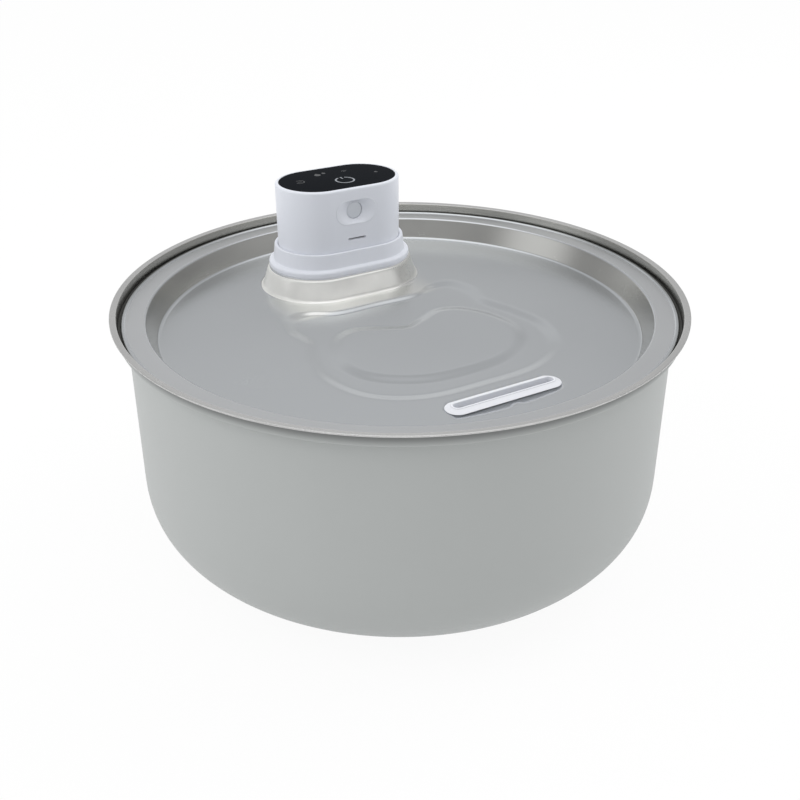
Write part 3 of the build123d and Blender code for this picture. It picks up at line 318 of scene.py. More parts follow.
# Under the lip the paint is darkened: painted shade of the lip's overhang.
white_paint = finish_material(
    "white_paint", (0.405, 0.422, 0.417), (0.435, 0.452, 0.447),
    cloud_scale=9, grain_scale=1400, low=0.42, high=0.54, bump=0.1,
)
painted_lip_shade = band_weight(white_paint, (0, 0, 1), 0, ledge_z - 1.5, lip_z - 2.6)
blend_colour(white_paint, painted_lip_shade, (0.42, 0.42, 0.42), "MULTIPLY")
bare_steel = finish_material(
    "bare_steel", (0.70, 0.70, 0.695), (0.78, 0.78, 0.775), metallic=1.0,
    cloud_scale=14, grain_scale=2600, low=0.2, high=0.3, bump=0.04,
)
# The ledge and the foot of the riser are painted near black: painted shade of the narrow gap round
# the tray's edge.
gap_shade_steel = finish_material(
    "gap_shade_steel", (0.07, 0.07, 0.066), (0.12, 0.12, 0.114), metallic=1.0,
    cloud_scale=60, grain_scale=2000, low=0.42, high=0.55, bump=0.1,
)
# The riser inside the rim is a darker copy of the bare steel: painted shade.
riser_shade_steel = finish_material(
    "riser_shade_steel", (0.5, 0.495, 0.465), (0.58, 0.575, 0.545), metallic=1.0,
    cloud_scale=20, grain_scale=2200, stretch=0.2, low=0.2, high=0.32, bump=0.06,
)
for material in (white_paint, bare_steel, gap_shade_steel, riser_shade_steel):
    bowl.data.materials.append(material)
painted, bare, step_foot, upright = range(4)
across_of = [point[0] for point in bowl_profile]
rows = range(len(bowl_profile))
paint_end = next(row for row in rows if across_of[row] > riser_radius + sheet + 0.5)
riser_start = next(row for row in rows[paint_end:] if across_of[row] < riser_radius + 0.3)
riser_end = next(row for row in rows[riser_start:] if across_of[row] < riser_radius - 2.4)
for face in bowl.data.polygons:
    row = face.index // bowl_segments
    if row < paint_end:
        face.material_index = painted
    elif riser_start <= row < riser_end:
        face.material_index = step_foot if face.center.z < (ledge_z + 1.4) * mm else upright
    else:
        face.material_index = bare
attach(bowl, "bowl")
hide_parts("bowl")

# Foot ring.  It is a flat ring of black rubber, stuck under the bowl's base so that it grips.
black_rubber = finish_material(
    "black_rubber", (0.02, 0.02, 0.022), (0.035, 0.035, 0.037),
    cloud_scale=40, grain_scale=1500, low=0.7, high=0.85, bump=0.3,
)


def dress(node, material):
    """Gives a construction piece its finish."""
    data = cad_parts[node].data
    data.materials.clear()
    data.materials.append(material)
    for face in data.polygons:
        face.material_index = 0


dress("foot_ring", black_rubber)

# Drinking tray.  It is stamped from thin stainless sheet: a flange that lies on the bowl's ledge,
# a sloping wall, a floor with a trough that runs round a low island, and a boss for the pump.
floor_top = 133.6
tray_top = 146.4
tray_sheet = 0.9
tray_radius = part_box("drinking_tray")[1].x / mm
tray_wall_top = 141.6
tray_wall_low = 136.1
join_radius = 118.0
tray_segments = 320
trough_depth = 1.3
trough_run = 9.6
boss_y = 75.45
boss_length = 99.4
boss_width = 67.8
boss_height = 12.4
boss_draw_in = 3.8
drain_y = -103.8


def mirrored(half, top):
    """Closed outline from its right half and its point on the centre line at the back."""
    left = [(-across, along) for across, along in half[:0:-1]]
    return half + [(0, top)] + left


def smooth_outline(points, steps=12):
    """Dense closed curve through the points of an outline."""
    count = len(points)
    places = [np.array(point, float) for point in points]
    line = []
    for index in range(count):
        a, b, c, d = (places[(index + shift) % count] for shift in (-1, 0, 1, 2))
        for step in range(steps):
            t = step / steps
            line.append(0.5 * (2 * b + (c - a) * t + (2 * a - 5 * b + 4 * c - d) * t ** 2
                               + (3 * b - a - 3 * c + d) * t ** 3))
    return np.array(line)


def inset(line, distance):
    """Closed outline moved inwards by a distance, or by one distance for each of its points."""
    along = np.roll(line, -1, axis=0) - np.roll(line, 1, axis=0)
    along /= np.linalg.norm(along, axis=1)[:, None]
    reach = np.broadcast_to(distance, len(line))[:, None]
    return line + np.stack((-along[:, 1], along[:, 0]), axis=1) * reach


def oval_points(half, radius, turns, runs):
    """Points round a straight-sided oval along X: turns on each end, runs on each side."""
    line = []
    for side, start in ((1, -math.pi / 2), (-1, math.pi / 2)):
        for index in range(turns):
            turn = start + math.pi * index / turns
            line.append((side * half + radius * math.cos(turn), radius * math.sin(turn)))
        for index in range(runs):
            line.append((side * (half - 2 * half * index / runs), side * radius))
    return line


def obround(length, width, centre_y, spacing=1.6):
    """Dense outline of a straight-sided oval that lies along X."""
    radius = width / 2
    half = length / 2 - radius
    turns = max(8, int(math.pi * radius / spacing))
    runs = max(2, int(2 * half / spacing))
    return np.array([(x, centre_y + y) for x, y in oval_points(half, radius, turns, runs)])


def inside(loop, spot):
    """Whether a spot lies inside a closed outline."""
    x, y = spot
    after = np.roll(loop, -1, axis=0)
    rise = after - loop
    crosses = (loop[:, 1] > y) != (after[:, 1] > y)
    with np.errstate(divide="ignore", invalid="ignore"):
        where = loop[:, 0] + (y - loop[:, 1]) / rise[:, 1] * rise[:, 0]
    return bool(np.sum(crosses & (x < where)) % 2)


def ease(share):
    """Smooth step from 0 to 1."""
    share = min(max(share, 0.0), 1.0)
    return share * share * (3 - 2 * share)


def flat_fill(mesh, loops, fill, finish):
    """Fills a bmesh between closed outlines and through loose spots, each given with its height.
    finish(spot) gives a face's material, or None where the sheet has a hole."""
    spots = []
    heights = []
    sides = []
    for outline, up in loops:
        start = len(spots)
        count = len(outline)
        spots += [Vector(spot) for spot in outline]
        heights += [up] * count
        sides += [(start + index, start + (index + 1) % count) for index in range(count)]
    spots += [Vector(spot) for spot, up in fill]
    heights += [up for spot, up in fill]
    flat, _, triangles, origins, *_ = delaunay_2d_cdt(spots, sides, [], 0, 1e-5)
    corners = []
    for spot, origin in zip(flat, origins):
        corners.append(mesh.verts.new((spot.x * mm, spot.y * mm, heights[origin[0]] * mm)))
    for triangle in triangles:
        choice = finish(sum((flat[index] for index in triangle), Vector((0, 0))) / 3)
        if choice is not None:
            mesh.faces.new([corners[index] for index in triangle]).material_index = choice
    loose = [corner for corner in mesh.verts if not corner.link_faces]
    bmesh.ops.delete(mesh, geom=loose, context="VERTS")


trough_outline = smooth_outline(mirrored([
    (0, -87.0), (34.0, -84.5), (58.0, -69.5), (68.0, -44.0), (64.5, -20.0),
    (58.0, 0), (60.0, 18.0), (54.0, 33.5), (40.0, 34.5), (26.0, 27.5),
], 27.5))
island_outline = smooth_outline(mirrored([
    (0, -71.0), (26.0, -67.5), (46.0, -54.0), (53.5, -36.0), (49.5, -16.0),
    (39.5, -2.0), (27.0, 2.0), (12.0, -4.5),
], -9.0))
skirt_hole = obround(68.0, 46.0, boss_y)
drain_hole = obround(63.6, 9.6, drain_y)
boss_flat = obround(boss_length - 2 * boss_draw_in - 3, boss_width - 2 * boss_draw_in - 3, boss_y)

# The trough's outer slope is steeper beside the boss and gentler at its right corner.
slope_steps = 12
slope_width = []
for across, along in trough_outline:
    by_boss = ease((along - 16) / 8) * ease((50 - abs(across)) / 10)
    on_right = ease((across - 46) / 10) * ease((along - 4) / 14)
    slope_width.append((1 - 0.5 * by_boss) * (1 + 0.4 * on_right))
slope_width = np.array(slope_width)
tray_loops = []
for step in range(-1, slope_steps + 2):
    share = step / slope_steps
    across = (share - 0.5) * trough_run
    outer = inset(trough_outline, across * slope_width)
    inner = inset(island_outline, across)
    tray_loops.append((outer, floor_top - trough_depth * ease(share)))
    tray_loops.append((inner, floor_top - trough_depth * (1 - ease(share))))
boss_profile = rounded([
    (6.0, 0, 0),
    (0, 0, 2.8),
    (-boss_draw_in, boss_height, 2.0),
    (-12, boss_height, 0),
], 7)
# The profile's straight ends only lead its curve, so they are left out.
for outwards, up in boss_profile:
    if -8.5 < outwards < 3:
        ring = obround(boss_length + 2 * outwards, boss_width + 2 * outwards, boss_y)
        tray_loops.append((ring, floor_top + up))
tray_loops.append((skirt_hole, floor_top + boss_height))
tray_loops.append((drain_hole, floor_top))
join_turns = 2 * math.pi * np.arange(tray_segments) / tray_segments
join_ring = np.stack((np.cos(join_turns), np.sin(join_turns)), axis=1) * join_radius
tray_loops.append((join_ring, floor_top))


def flat_height(spot):
    """Height of the tray's flats at a spot."""
    if inside(boss_flat, spot):
        return floor_top + boss_height
    if inside(trough_outline, spot) and not inside(island_outline, spot):
        return floor_top - trough_depth
    return floor_top


def tray_face(spot):
    """Marks where the tray has sheet: inside the joining ring and outside both holes."""
    hole = inside(skirt_hole, spot) or inside(drain_hole, spot) or spot.length > join_radius
    return None if hole else 0


# Loose spots on a grid, clear of the outlines, keep the triangles of the flats small.
grid_step = 5
grid_reach = 115
grid_clearance = 2.2
loop_points = np.concatenate([loop for loop, up in tray_loops])
tray_fill = []
for column in range(-grid_reach, grid_reach + 1, grid_step):
    for row in range(-grid_reach, grid_reach + 1, grid_step):
        spot = np.array((column, row), float)
        nearest = np.min(np.linalg.norm(loop_points - spot, axis=1))
        if np.linalg.norm(spot) <= join_radius - 3 and nearest >= grid_clearance:
            tray_fill.append((spot, flat_height(spot)))
tray_mesh = bmesh.new()
flat_fill(tray_mesh, tray_loops, tray_fill, tray_face)
for face in tray_mesh.faces:
    face.smooth = True
tray_edge = rounded([
    (join_radius, floor_top, 0),
    (tray_wall_low, floor_top, 2.4),
    (tray_wall_top, tray_top, 1.7),
    (tray_radius - 1.9, tray_top, 0.15),
    (tray_radius - 1.2, tray_top + 0.6, 0.25),
    (tray_radius - 0.1, tray_top + 0.6, 0.4),
    (tray_radius + 0.7, tray_top - 0.3, 0),
], 10, 0.06)
bridge(tray_mesh, [turned_ring(tray_mesh, across, up, tray_segments) for across, up in tray_edge])
bmesh.ops.remove_doubles(tray_mesh, verts=tray_mesh.verts, dist=0.00001)
bmesh.ops.recalc_face_normals(tray_mesh, faces=tray_mesh.faces)
if sum(face.normal.z for face in tray_mesh.faces) < 0:
    bmesh.ops.reverse_faces(tray_mesh, faces=tray_mesh.faces)
tray = piece_from(tray_mesh, "stamped_tray")
thickness = tray.modifiers.new("sheet", "SOLIDIFY")
thickness.thickness = tray_sheet * mm
thickness.offset = -1

# The sheet in front of the boss is painted brighter: a painted reflection of the boss's bright slope.
tray_steel = finish_material(
    "tray_steel", (0.66, 0.685, 0.71), (0.70, 0.725, 0.75), metallic=1.0,
    cloud_scale=10, grain_scale=2200, low=0.22, high=0.28, bump=0.03,
)
painted_boss_reflection = tray_steel.node_tree.nodes.new("ShaderNodeMath")
painted_boss_reflection.operation = "MULTIPLY"
beside = band_weight(tray_steel, (1, 0, 0), -6, 56, 32)
in_front = band_weight(tray_steel, (0, 1, 0), 47, 20, 15)
tray_steel.node_tree.links.new(beside, painted_boss_reflection.inputs[0])
tray_steel.node_tree.links.new(in_front, painted_boss_reflection.inputs[1])
blend_colour(tray_steel, painted_boss_reflection.outputs["Value"], (0.87, 0.875, 0.86), "MIX")
# The tray's wall is a darker, warmer copy of the tray's steel: painted shade.
wall_shade_steel = finish_material(
    "wall_shade_steel", (0.52, 0.522, 0.505), (0.60, 0.602, 0.585), metallic=1.0,
    cloud_scale=26, grain_scale=1800, stretch=0.3, low=0.2, high=0.28, bump=0.04,
)
flange_steel = finish_material(
    "flange_steel", (0.69, 0.705, 0.722), (0.735, 0.75, 0.765), metallic=1.0,
    cloud_scale=16, grain_scale=2000, low=0.36, high=0.44, bump=0.04,
)
# The boss keeps shallow dents from its drawing.  Its colour drifts in large patches from grey to near
# white, a painted reflection, and its left end is made less metallic so that it shows as a painted
# highlight.
boss_steel_painted_reflection = finish_material(
    "boss_steel_painted_reflection", (0.66, 0.665, 0.65), (1.0, 0.995, 0.965), metallic=0.8,
    cloud_scale=38, grain_scale=1800, low=0.26, high=0.36, bump=0.04,
)
nodes = boss_steel_painted_reflection.node_tree.nodes
links = boss_steel_painted_reflection.node_tree.links
surface = nodes["Principled BSDF"]
place = nodes.new("ShaderNodeTexCoord")
dents = nodes.new("ShaderNodeTexNoise")
dents.inputs["Scale"].default_value = 52.0
dents.inputs["Detail"].default_value = 0.0
wavy = nodes.new("ShaderNodeBump")
wavy.inputs["Distance"].default_value = 0.0016
links.new(place.outputs["Object"], dents.inputs["Vector"])
links.new(dents.outputs["Fac"], wavy.inputs["Height"])
links.new(surface.inputs["Normal"].links[0].from_socket, wavy.inputs["Normal"])
links.new(wavy.outputs["Normal"], surface.inputs["Normal"])
split = nodes.new("ShaderNodeSeparateXYZ")
painted_pale_end = nodes.new("ShaderNodeMapRange")
painted_pale_end.inputs["From Min"].default_value = -50 * mm
painted_pale_end.inputs["From Max"].default_value = -14 * mm
painted_pale_end.inputs["To Min"].default_value = 0.2
painted_pale_end.inputs["To Max"].default_value = 0.8
links.new(place.outputs["Object"], split.inputs["Vector"])
links.new(split.outputs["X"], painted_pale_end.inputs["Value"])
links.new(painted_pale_end.outputs["Result"], surface.inputs["Metallic"])

for material in (tray_steel, boss_steel_painted_reflection, wall_shade_steel, flange_steel):
    tray.data.materials.append(material)
floor_part, boss_part, wall_part, flange_part = range(4)
slope_low = (floor_top + 0.25) * mm
slope_high = (floor_top + boss_height - 0.1) * mm
for face in tray.data.polygons:
    middle = face.center / mm
    radius = middle.xy.length
    # An ellipse a little wider than the boss leaves out the trough and the wall.
    near_boss = (middle.x / boss_length) ** 2 + ((middle.y - boss_y) / boss_width) ** 2 < 0.3
    if near_boss and slope_low < face.center.z < slope_high:
        face.material_index = boss_part
    elif tray_wall_low + 0.4 < radius < tray_wall_top - 0.3:
        face.material_index = wall_part
    elif tray_wall_top + 0.6 < radius < tray_radius - 2:
        face.material_index = flange_part
    else:
        face.material_index = floor_part
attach(tray, "tray")
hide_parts("drinking_tray")

# Collar.  It is one white moulding that stands on a silicone gasket on the boss, and is held from
# below by a clamp ring and four screws.
white_plastic = finish_material(
    "white_plastic", (0.775, 0.80, 0.865), (0.805, 0.83, 0.895),
    cloud_scale=18, grain_scale=2400, low=0.36, high=0.46, bump=0.06,
)
clear_silicone = finish_material(
    "clear_silicone", (0.62, 0.63, 0.64), (0.7, 0.71, 0.72),
    cloud_scale=30, grain_scale=1200, low=0.45, high=0.55, bump=0.1,
)
screw_steel = finish_material(
    "screw_steel", (0.5, 0.5, 0.51), (0.6, 0.6, 0.61), metallic=1.0,
    cloud_scale=200, grain_scale=3000, low=0.22, high=0.34, bump=0.05,
)


def oval_loft(name, ovals, place, closed=True, turns=40, runs=16):
    """Mesh through straight-sided ovals of (half-length, radius, level); place(x, y, level) says
    where a point of an oval goes."""
    mesh = bmesh.new()
    rings = []
    for half, radius, level in ovals:
        ring = []
        for x, y in oval_points(half, radius, turns, runs):
            ring.append(mesh.verts.new([value * mm for value in place(x, y, level)]))
        rings.append(ring)
    bridge(mesh, rings, closed)
    bmesh.ops.remove_doubles(mesh, verts=mesh.verts, dist=0.000002)
    bmesh.ops.recalc_face_normals(mesh, faces=mesh.faces)
    return piece_from(mesh, name)


boss_top = floor_top + boss_height
collar_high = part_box("collar")[1].z / mm
collar_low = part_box("collar")[0].z / mm
collar_profile = rounded([
    (21.5, collar_low, 0),
    (22.7, collar_low, 0.3),
    (22.7, boss_top + 0.65, 0.2),
    (28.1, boss_top + 0.65, 0.15),
    (28.2, boss_top + 0.05, 0.15),
    (28.6, boss_top + 0.05, 0.3),
    (29.3, boss_top + 1.6, 1.2),
    (29.3, boss_top + 4.7, 1.9),
    (27.3, boss_top + 5.2, 0.9),
    (26.3, collar_high, 0.5),
    (24.45, collar_high, 0.4),
    (24.45, boss_top + 3.5, 0.3),
    (20.3, boss_top + 3.5, 0.3),
    (20.3, collar_low, 0.3),
    (21.4, collar_low, 0),
], 7, 0.04)


def collar_half(radius):
    """Straight half-length of the collar's oval at a radius."""
    radii = (22.7, 24.45, 26.3, 27.5, 29.3)
    halves = (11.0, 14.7, 14.75, 15.0, 15.75)
    return float(np.interp(radius, radii, halves))


def over_boss(x, y, up):
    """Place of a point of the collar."""
    return x, boss_y + y, up


collar_ovals = [(collar_half(radius), radius, up) for radius, up in collar_profile]
collar = oval_loft("collar_ring", collar_ovals, over_boss)
collar.data.materials.append(white_plastic)
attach(collar, "tray")
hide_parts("collar")
dress("collar_gasket", clear_silicone)
dress("clamp_ring", white_plastic)
dress("clamp_screws", screw_steel)

# Pump head.  Its white housing stands in the collar on the casing's flange, with a seal between.
# The casing reaches down into the water and carries the pump cover, which pulls off.
dress("head_housing", white_plastic)
dress("stem_casing", white_plastic)
dress("housing_seal", clear_silicone)
dress("housing_screws", screw_steel)
dress("pump_cover", white_plastic)
dress("volute", white_plastic)

# Touch panel.  It is a black gloss plate, let into the top of the head.  A power ring and four
# small signs are printed on its back and show through it.
def arc_band(centre, radius, width, start, sweep, steps=40):
    """Outline of a band along an arc; angles in degrees, anticlockwise from +X."""
    outline = []
    for side, order in ((width / 2, range(steps + 1)), (-width / 2, range(steps, -1, -1))):
        for step in order:
            turn = math.radians(start + sweep * step / steps)
            across = (radius + side) * math.cos(turn)
            along = (radius + side) * math.sin(turn)
            outline.append((centre[0] + across, centre[1] + along))
    return np.array(outline)


def bar(first, last, width):
    """Outline of a straight bar between two points."""
    run = np.array(last, float) - np.array(first, float)
    side = np.array((-run[1], run[0])) / np.linalg.norm(run) * width / 2
    return np.array((first - side, last - side, last + side, first + side))


def drop_sign(centre, size):
    """Outline of a water drop."""
    outline = []
    for step in range(24):
        turn = 2 * math.pi * step / 24
        narrow = max(0.0, math.sin(turn)) ** 2
        across = size * math.cos(turn) * (1 - 0.55 * narrow)
        along = size * math.sin(turn) * (1 + 0.5 * narrow)
        outline.append((centre[0] + across, centre[1] + along))
    return np.array(outline)


black_panel = finish_material(
    "black_panel", (0.004, 0.0055, 0.008), (0.005, 0.0065, 0.0095),
    cloud_scale=30, grain_scale=2000, low=0.12, high=0.18, bump=0.01,
)
black_panel.node_tree.nodes["Principled BSDF"].inputs["Specular IOR Level"].default_value = 0.004
bright_print = finish_material(
    "bright_print", (0.25, 0.27, 0.3), (0.3, 0.32, 0.35),
    cloud_scale=60, grain_scale=3000, low=0.3, high=0.4, bump=0.01,
)
faint_print = finish_material(
    "faint_print", (0.03, 0.033, 0.037), (0.045, 0.048, 0.053),
    cloud_scale=60, grain_scale=3000, low=0.3, high=0.4, bump=0.01,
)
panel_low, panel_high = (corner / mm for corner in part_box("touch_panel"))
panel_length = panel_high.x - panel_low.x
panel_width = panel_high.y - panel_low.y
head_y = (panel_high.y + panel_low.y) / 2
bright_signs = [arc_band((1.6, 68.6), 5.5, 1.0, 112, 316), bar((1.6, 71.6), (1.6, 75.0), 0.9)]
faint_signs = [
    arc_band((-23.5, 78.0), 2.6, 0.6, 200, 280, 20), bar((-24.6, 78.0), (-22.4, 78.0), 0.6),
    drop_sign((-8.4, 85.6), 2.0), drop_sign((-3.6, 87.2), 1.2),
    arc_band((9.5, 84.0), 2.4, 0.6, 45, 90, 12), arc_band((9.5, 84.0), 1.1, 0.6, 45, 90, 12),
    arc_band((25.8, 74.6), 0.6, 1.0, 0, 350, 16),
]
panel_loops = []
for inwards, drop in ((0.0, 0.3), (0.05, 0.15), (0.18, 0.04), (0.35, 0.0)):
    rim = obround(panel_length - 2 * inwards, panel_width - 2 * inwards, head_y)
    panel_loops.append((rim, panel_high.z - drop))
panel_loops += [(sign, panel_high.z) for sign in bright_signs + faint_signs]


def panel_face(spot):
    """Which finish a face of the panel's top has."""
    if not inside(panel_loops[0][0], spot):
        return None
    if any(inside(sign, spot) for sign in bright_signs):
        return 1
    if any(inside(sign, spot) for sign in faint_signs):
        return 2
    return 0


panel_mesh = bmesh.new()
flat_fill(panel_mesh, panel_loops, [], panel_face)
panel = piece_from(panel_mesh, "panel_plate")
for material in (black_panel, bright_print, faint_print):
    panel.data.materials.append(material)
plate = panel.modifiers.new("plate", "SOLIDIFY")
plate.thickness = (panel_high.z - panel_low.z - 0.4) * mm
plate.offset = -1
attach(panel, "pump")
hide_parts("touch_panel")

# Sensor.  A milky lens sits in the bottom of a shallow recess in the head's front, with its board
# behind it.
lens_plastic = finish_material(
    "lens_plastic", (0.64, 0.67, 0.72), (0.70, 0.73, 0.78), coat=0.3,
    cloud_scale=60, grain_scale=1800, low=0.2, high=0.28, bump=0.03,
)
green_board = finish_material(
    "green_board", (0.015, 0.12, 0.05), (0.025, 0.17, 0.075), coat=0.3,
    cloud_scale=80, grain_scale=900, low=0.35, high=0.5, bump=0.1,
)
recess_z = (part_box("sensor_lens")[0].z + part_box("sensor_lens")[1].z) / 2 / mm
lens_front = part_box("sensor_lens")[0].y / mm
head_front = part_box("head_housing")[0].y / mm
dish_depth = lens_front - head_front
mouth_half = 5.8
mouth_radius = 7.2
seat_radius = 5.2
lens_radius = 4.98
lens_bulge = 0.75


def in_recess(x, up, depth):
    """Place of a point of the recess, from its depth behind the head's front."""
    return x, head_front + depth, recess_z + up


# The dish falls slowly at its mouth, then steeply, and eases into its seat.
dish_rings = [(mouth_half, mouth_radius + 0.45, -0.01), (mouth_half, mouth_radius + 0.25, -0.01)]
dish_steps = 30
for step in range(dish_steps + 1):
    share = step / dish_steps
    fall = 1 - (1 - share ** 1.9) ** 1.25
    half = mouth_half * (1 - share)
    radius = mouth_radius + 0.2 - (mouth_radius + 0.1 - seat_radius) * share
    dish_rings.append((half, radius, -0.01 + (dish_depth - 0.3) * fall))
dish_rings += [
    (0, seat_radius, dish_depth - 0.25),
    (0, seat_radius, dish_depth + 0.6),
    (0, seat_radius + 0.4, dish_depth + 0.6),
    (mouth_half - 1, mouth_radius - 0.6, dish_depth),
    (mouth_half, mouth_radius - 0.1, 0.5),
    (mouth_half, mouth_radius - 0.05, 0.02),
]
dish = oval_loft("sensor_dish", dish_rings, in_recess, True, 32, 12)
dish.data.materials.append(white_plastic)
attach(dish, "pump")
lens_rings = [(0, 0.001, dish_depth + 1.0), (0, lens_radius, dish_depth + 1.0)]
for step in range(13):
    turn = math.pi / 2 * step / 12
    depth = dish_depth + 0.25 - lens_bulge * math.sin(turn)
    lens_rings.append((0, lens_radius * math.cos(turn) + 0.001, depth))
lens = oval_loft("sensor_window", lens_rings, in_recess, False, 32, 2)
lens.data.materials.append(lens_plastic)
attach(lens, "pump")
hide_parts("sensor_lens")
for node in ("sensor_board", "control_board", "charge_board"):
    dress(node, green_board)

# Power.  The battery lies in a grey holder, and is charged through a socket at the back of the
# head, under a soft flap that hinges on a pin.
grey_plastic = finish_material(
    "grey_plastic", (0.26, 0.27, 0.29), (0.31, 0.32, 0.34),
    cloud_scale=40, grain_scale=1500, low=0.45, high=0.55, bump=0.15,
)
battery_wrap = finish_material(
    "battery_wrap", (0.03, 0.09, 0.33), (0.05, 0.12, 0.42), coat=0.5,
    cloud_scale=50, grain_scale=800, low=0.25, high=0.4, bump=0.1,
)
port_metal = finish_material(
    "port_metal", (0.5, 0.5, 0.51), (0.58, 0.58, 0.59), metallic=1.0,
    cloud_scale=150, grain_scale=2500, low=0.25, high=0.4, bump=0.05,
)
white_rubber = finish_material(
    "white_rubber", (0.72, 0.745, 0.80), (0.76, 0.785, 0.84),
    cloud_scale=30, grain_scale=1600, low=0.55, high=0.68, bump=0.15,
)
dress("battery_holder", grey_plastic)
dress("battery_pack", battery_wrap)
dress("charge_port", port_metal)
dress("port_flap", white_rubber)
dress("flap_pin", screw_steel)

# Drive.  The motor turns a magnet above the casing's floor, which drives the impeller below it
# through the wall; the water goes up a flat duct to the nozzle behind the outlet slit.
magnet_nickel = finish_material(
    "magnet_nickel", (0.44, 0.44, 0.45), (0.52, 0.52, 0.53), metallic=1.0,
    cloud_scale=120, grain_scale=2000, low=0.15, high=0.28, bump=0.03,
)
ceramic = finish_material(
    "ceramic", (0.72, 0.71, 0.67), (0.8, 0.79, 0.75),
    cloud_scale=100, grain_scale=2500, low=0.25, high=0.35, bump=0.03,
)
for node in ("motor_bracket", "water_duct", "outlet_nozzle", "impeller"):
    dress(node, grey_plastic)
for node in ("bracket_screws", "motor_shaft"):
    dress(node, screw_steel)
for node in ("drive_magnet", "impeller_magnet"):
    dress(node, magnet_nickel)
for node in ("impeller_shaft", "thrust_washer"):
    dress(node, ceramic)
dress("drive_motor", port_metal)
dress("shaft_cap", white_rubber)

# Drain and filter.  The white insert drops into the tray's slot; under the tray a seat carries the
# filter box, with a foam and a cartridge of carbon in a cloth pouch.
drain_plastic = finish_material(
    "drain_plastic", (0.80, 0.815, 0.86), (0.84, 0.855, 0.90),
    cloud_scale=30, grain_scale=2400, low=0.34, high=0.44, bump=0.05,
)
foam = finish_material(
    "foam", (0.5, 0.51, 0.52), (0.62, 0.63, 0.64),
    cloud_scale=150, grain_scale=700, low=0.8, high=0.95, bump=1.0,
)
filter_cloth = finish_material(
    "filter_cloth", (0.6, 0.6, 0.58), (0.7, 0.7, 0.68),
    cloud_scale=60, grain_scale=900, stretch=3.0, low=0.75, high=0.9, bump=0.8,
)
slot_half = 27.5
slot_radius = 2.35
drain_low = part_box("drain_insert")[0].z / mm
drain_profile = rounded([
    (slot_radius, drain_low + 3, 0),
    (slot_radius, drain_low, 0),
    (slot_radius + 1.6, drain_low, 0.2),
    (slot_radius + 1.6, floor_top + 0.03, 0.1),
    (slot_radius + 4.2, floor_top + 0.03, 0),
    (slot_radius + 4.2, floor_top + 0.3, 0.12),
    (slot_radius + 1.25, floor_top + 1.55, 0.4),
    (slot_radius + 0.95, floor_top + 1.98, 0.2),
    (slot_radius, floor_top + 1.98, 0.4),
    (slot_radius, drain_low + 4, 0),
], 6, 0.02)


def at_drain(x, y, up):
    """Place of a point of the drain."""
    return x, drain_y + y, up


drain_ovals = [(slot_half, radius, up) for radius, up in drain_profile]
drain = oval_loft("drain_slot_insert", drain_ovals, at_drain, True, 24, 24)
drain.data.materials.append(drain_plastic)
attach(drain, "drain")
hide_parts("drain_insert")
for node in ("filter_seat", "filter_box"):
    dress(node, white_plastic)
for node in ("filter_foam", "intake_foam"):
    dress(node, foam)
dress("filter_cartridge", filter_cloth)

# Studio.  A white floor that keeps the soft shadow, and two large soft lamps.  To dull surfaces the
# surround is plain white, dimmer on the camera's side.  Polished ones see light and dark bands in it,
# but no image of the pump.
above_floor = [node for name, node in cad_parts.items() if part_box(name)[1].z > floor_top * mm]
for piece in (*above_floor, collar, panel, dish, lens):
    piece.visible_glossy = False
floor_data = bpy.data.meshes.new("floor")
floor_reach = 20.0
floor_data.from_pydata(
    [(-floor_reach, -floor_reach, 0), (floor_reach, -floor_reach, 0),
     (floor_reach, floor_reach, 0), (-floor_reach, floor_reach, 0)],
    [], [(0, 1, 2, 3)],
)
floor = bpy.data.objects.new("floor", floor_data)
bpy.context.scene.collection.objects.link(floor)
floor_material = bpy.data.materials.new("floor_white")
floor_material.use_nodes = True
nodes = floor_material.node_tree.nodes
links = floor_material.node_tree.links
nodes.remove(nodes["Principled BSDF"])
matt = nodes.new("ShaderNodeBsdfDiffuse")
matt.inputs["Color"].default_value = (0.96, 0.96, 0.96, 1)
glow = nodes.new("ShaderNodeEmission")
glow.inputs["Strength"].default_value = 1.0
paths = nodes.new("ShaderNodeLightPath")
seen = nodes.new("ShaderNodeMath")
seen.operation = "MAXIMUM"
links.new(paths.outputs["Is Camera Ray"], seen.inputs[0])
links.new(paths.outputs["Is Glossy Ray"], seen.inputs[1])
share = nodes.new("ShaderNodeMapRange")
share.inputs["To Min"].default_value = 0.08
share.inputs["To Max"].default_value = 0.93
links.new(seen.outputs["Value"], share.inputs["Value"])
blend = nodes.new("ShaderNodeMixShader")
links.new(share.outputs["Result"], blend.inputs["Fac"])
links.new(matt.outputs["BSDF"], blend.inputs[1])
links.new(glow.outputs["Emission"], blend.inputs[2])
links.new(blend.outputs["Shader"], nodes["Material Output"].inputs["Surface"])
floor_data.materials.append(floor_material)

world = bpy.data.worlds.new("surround")
bpy.context.scene.world = world
world.use_nodes = True
nodes = world.node_tree.nodes
links = world.node_tree.links
surround = nodes["Background"]
surround.inputs["Color"].default_value = (1, 1, 1, 1)
place = nodes.new("ShaderNodeTexCoord")
split = nodes.new("ShaderNodeSeparateXYZ")
links.new(place.outputs["Generated"], split.inputs["Vector"])


def height_ramp(stops):
    """Brightness of the surround against height, from pairs of height in degrees and brightness."""
    ramp = nodes.new("ShaderNodeValToRGB")
    elements = ramp.color_ramp.elements
    placed = [(math.sin(math.radians(height)), level) for height, level in stops]
    for element, (position, level) in ((elements[0], placed[0]), (elements[1], placed[-1])):
        element.position = position
        element.color = (level, level, level, 1)
    for position, level in placed[1:-1]:
        elements.new(position).color = (level, level, level, 1)
    links.new(split.outputs["Z"], ramp.inputs["Fac"])
    return ramp.outputs["Color"]


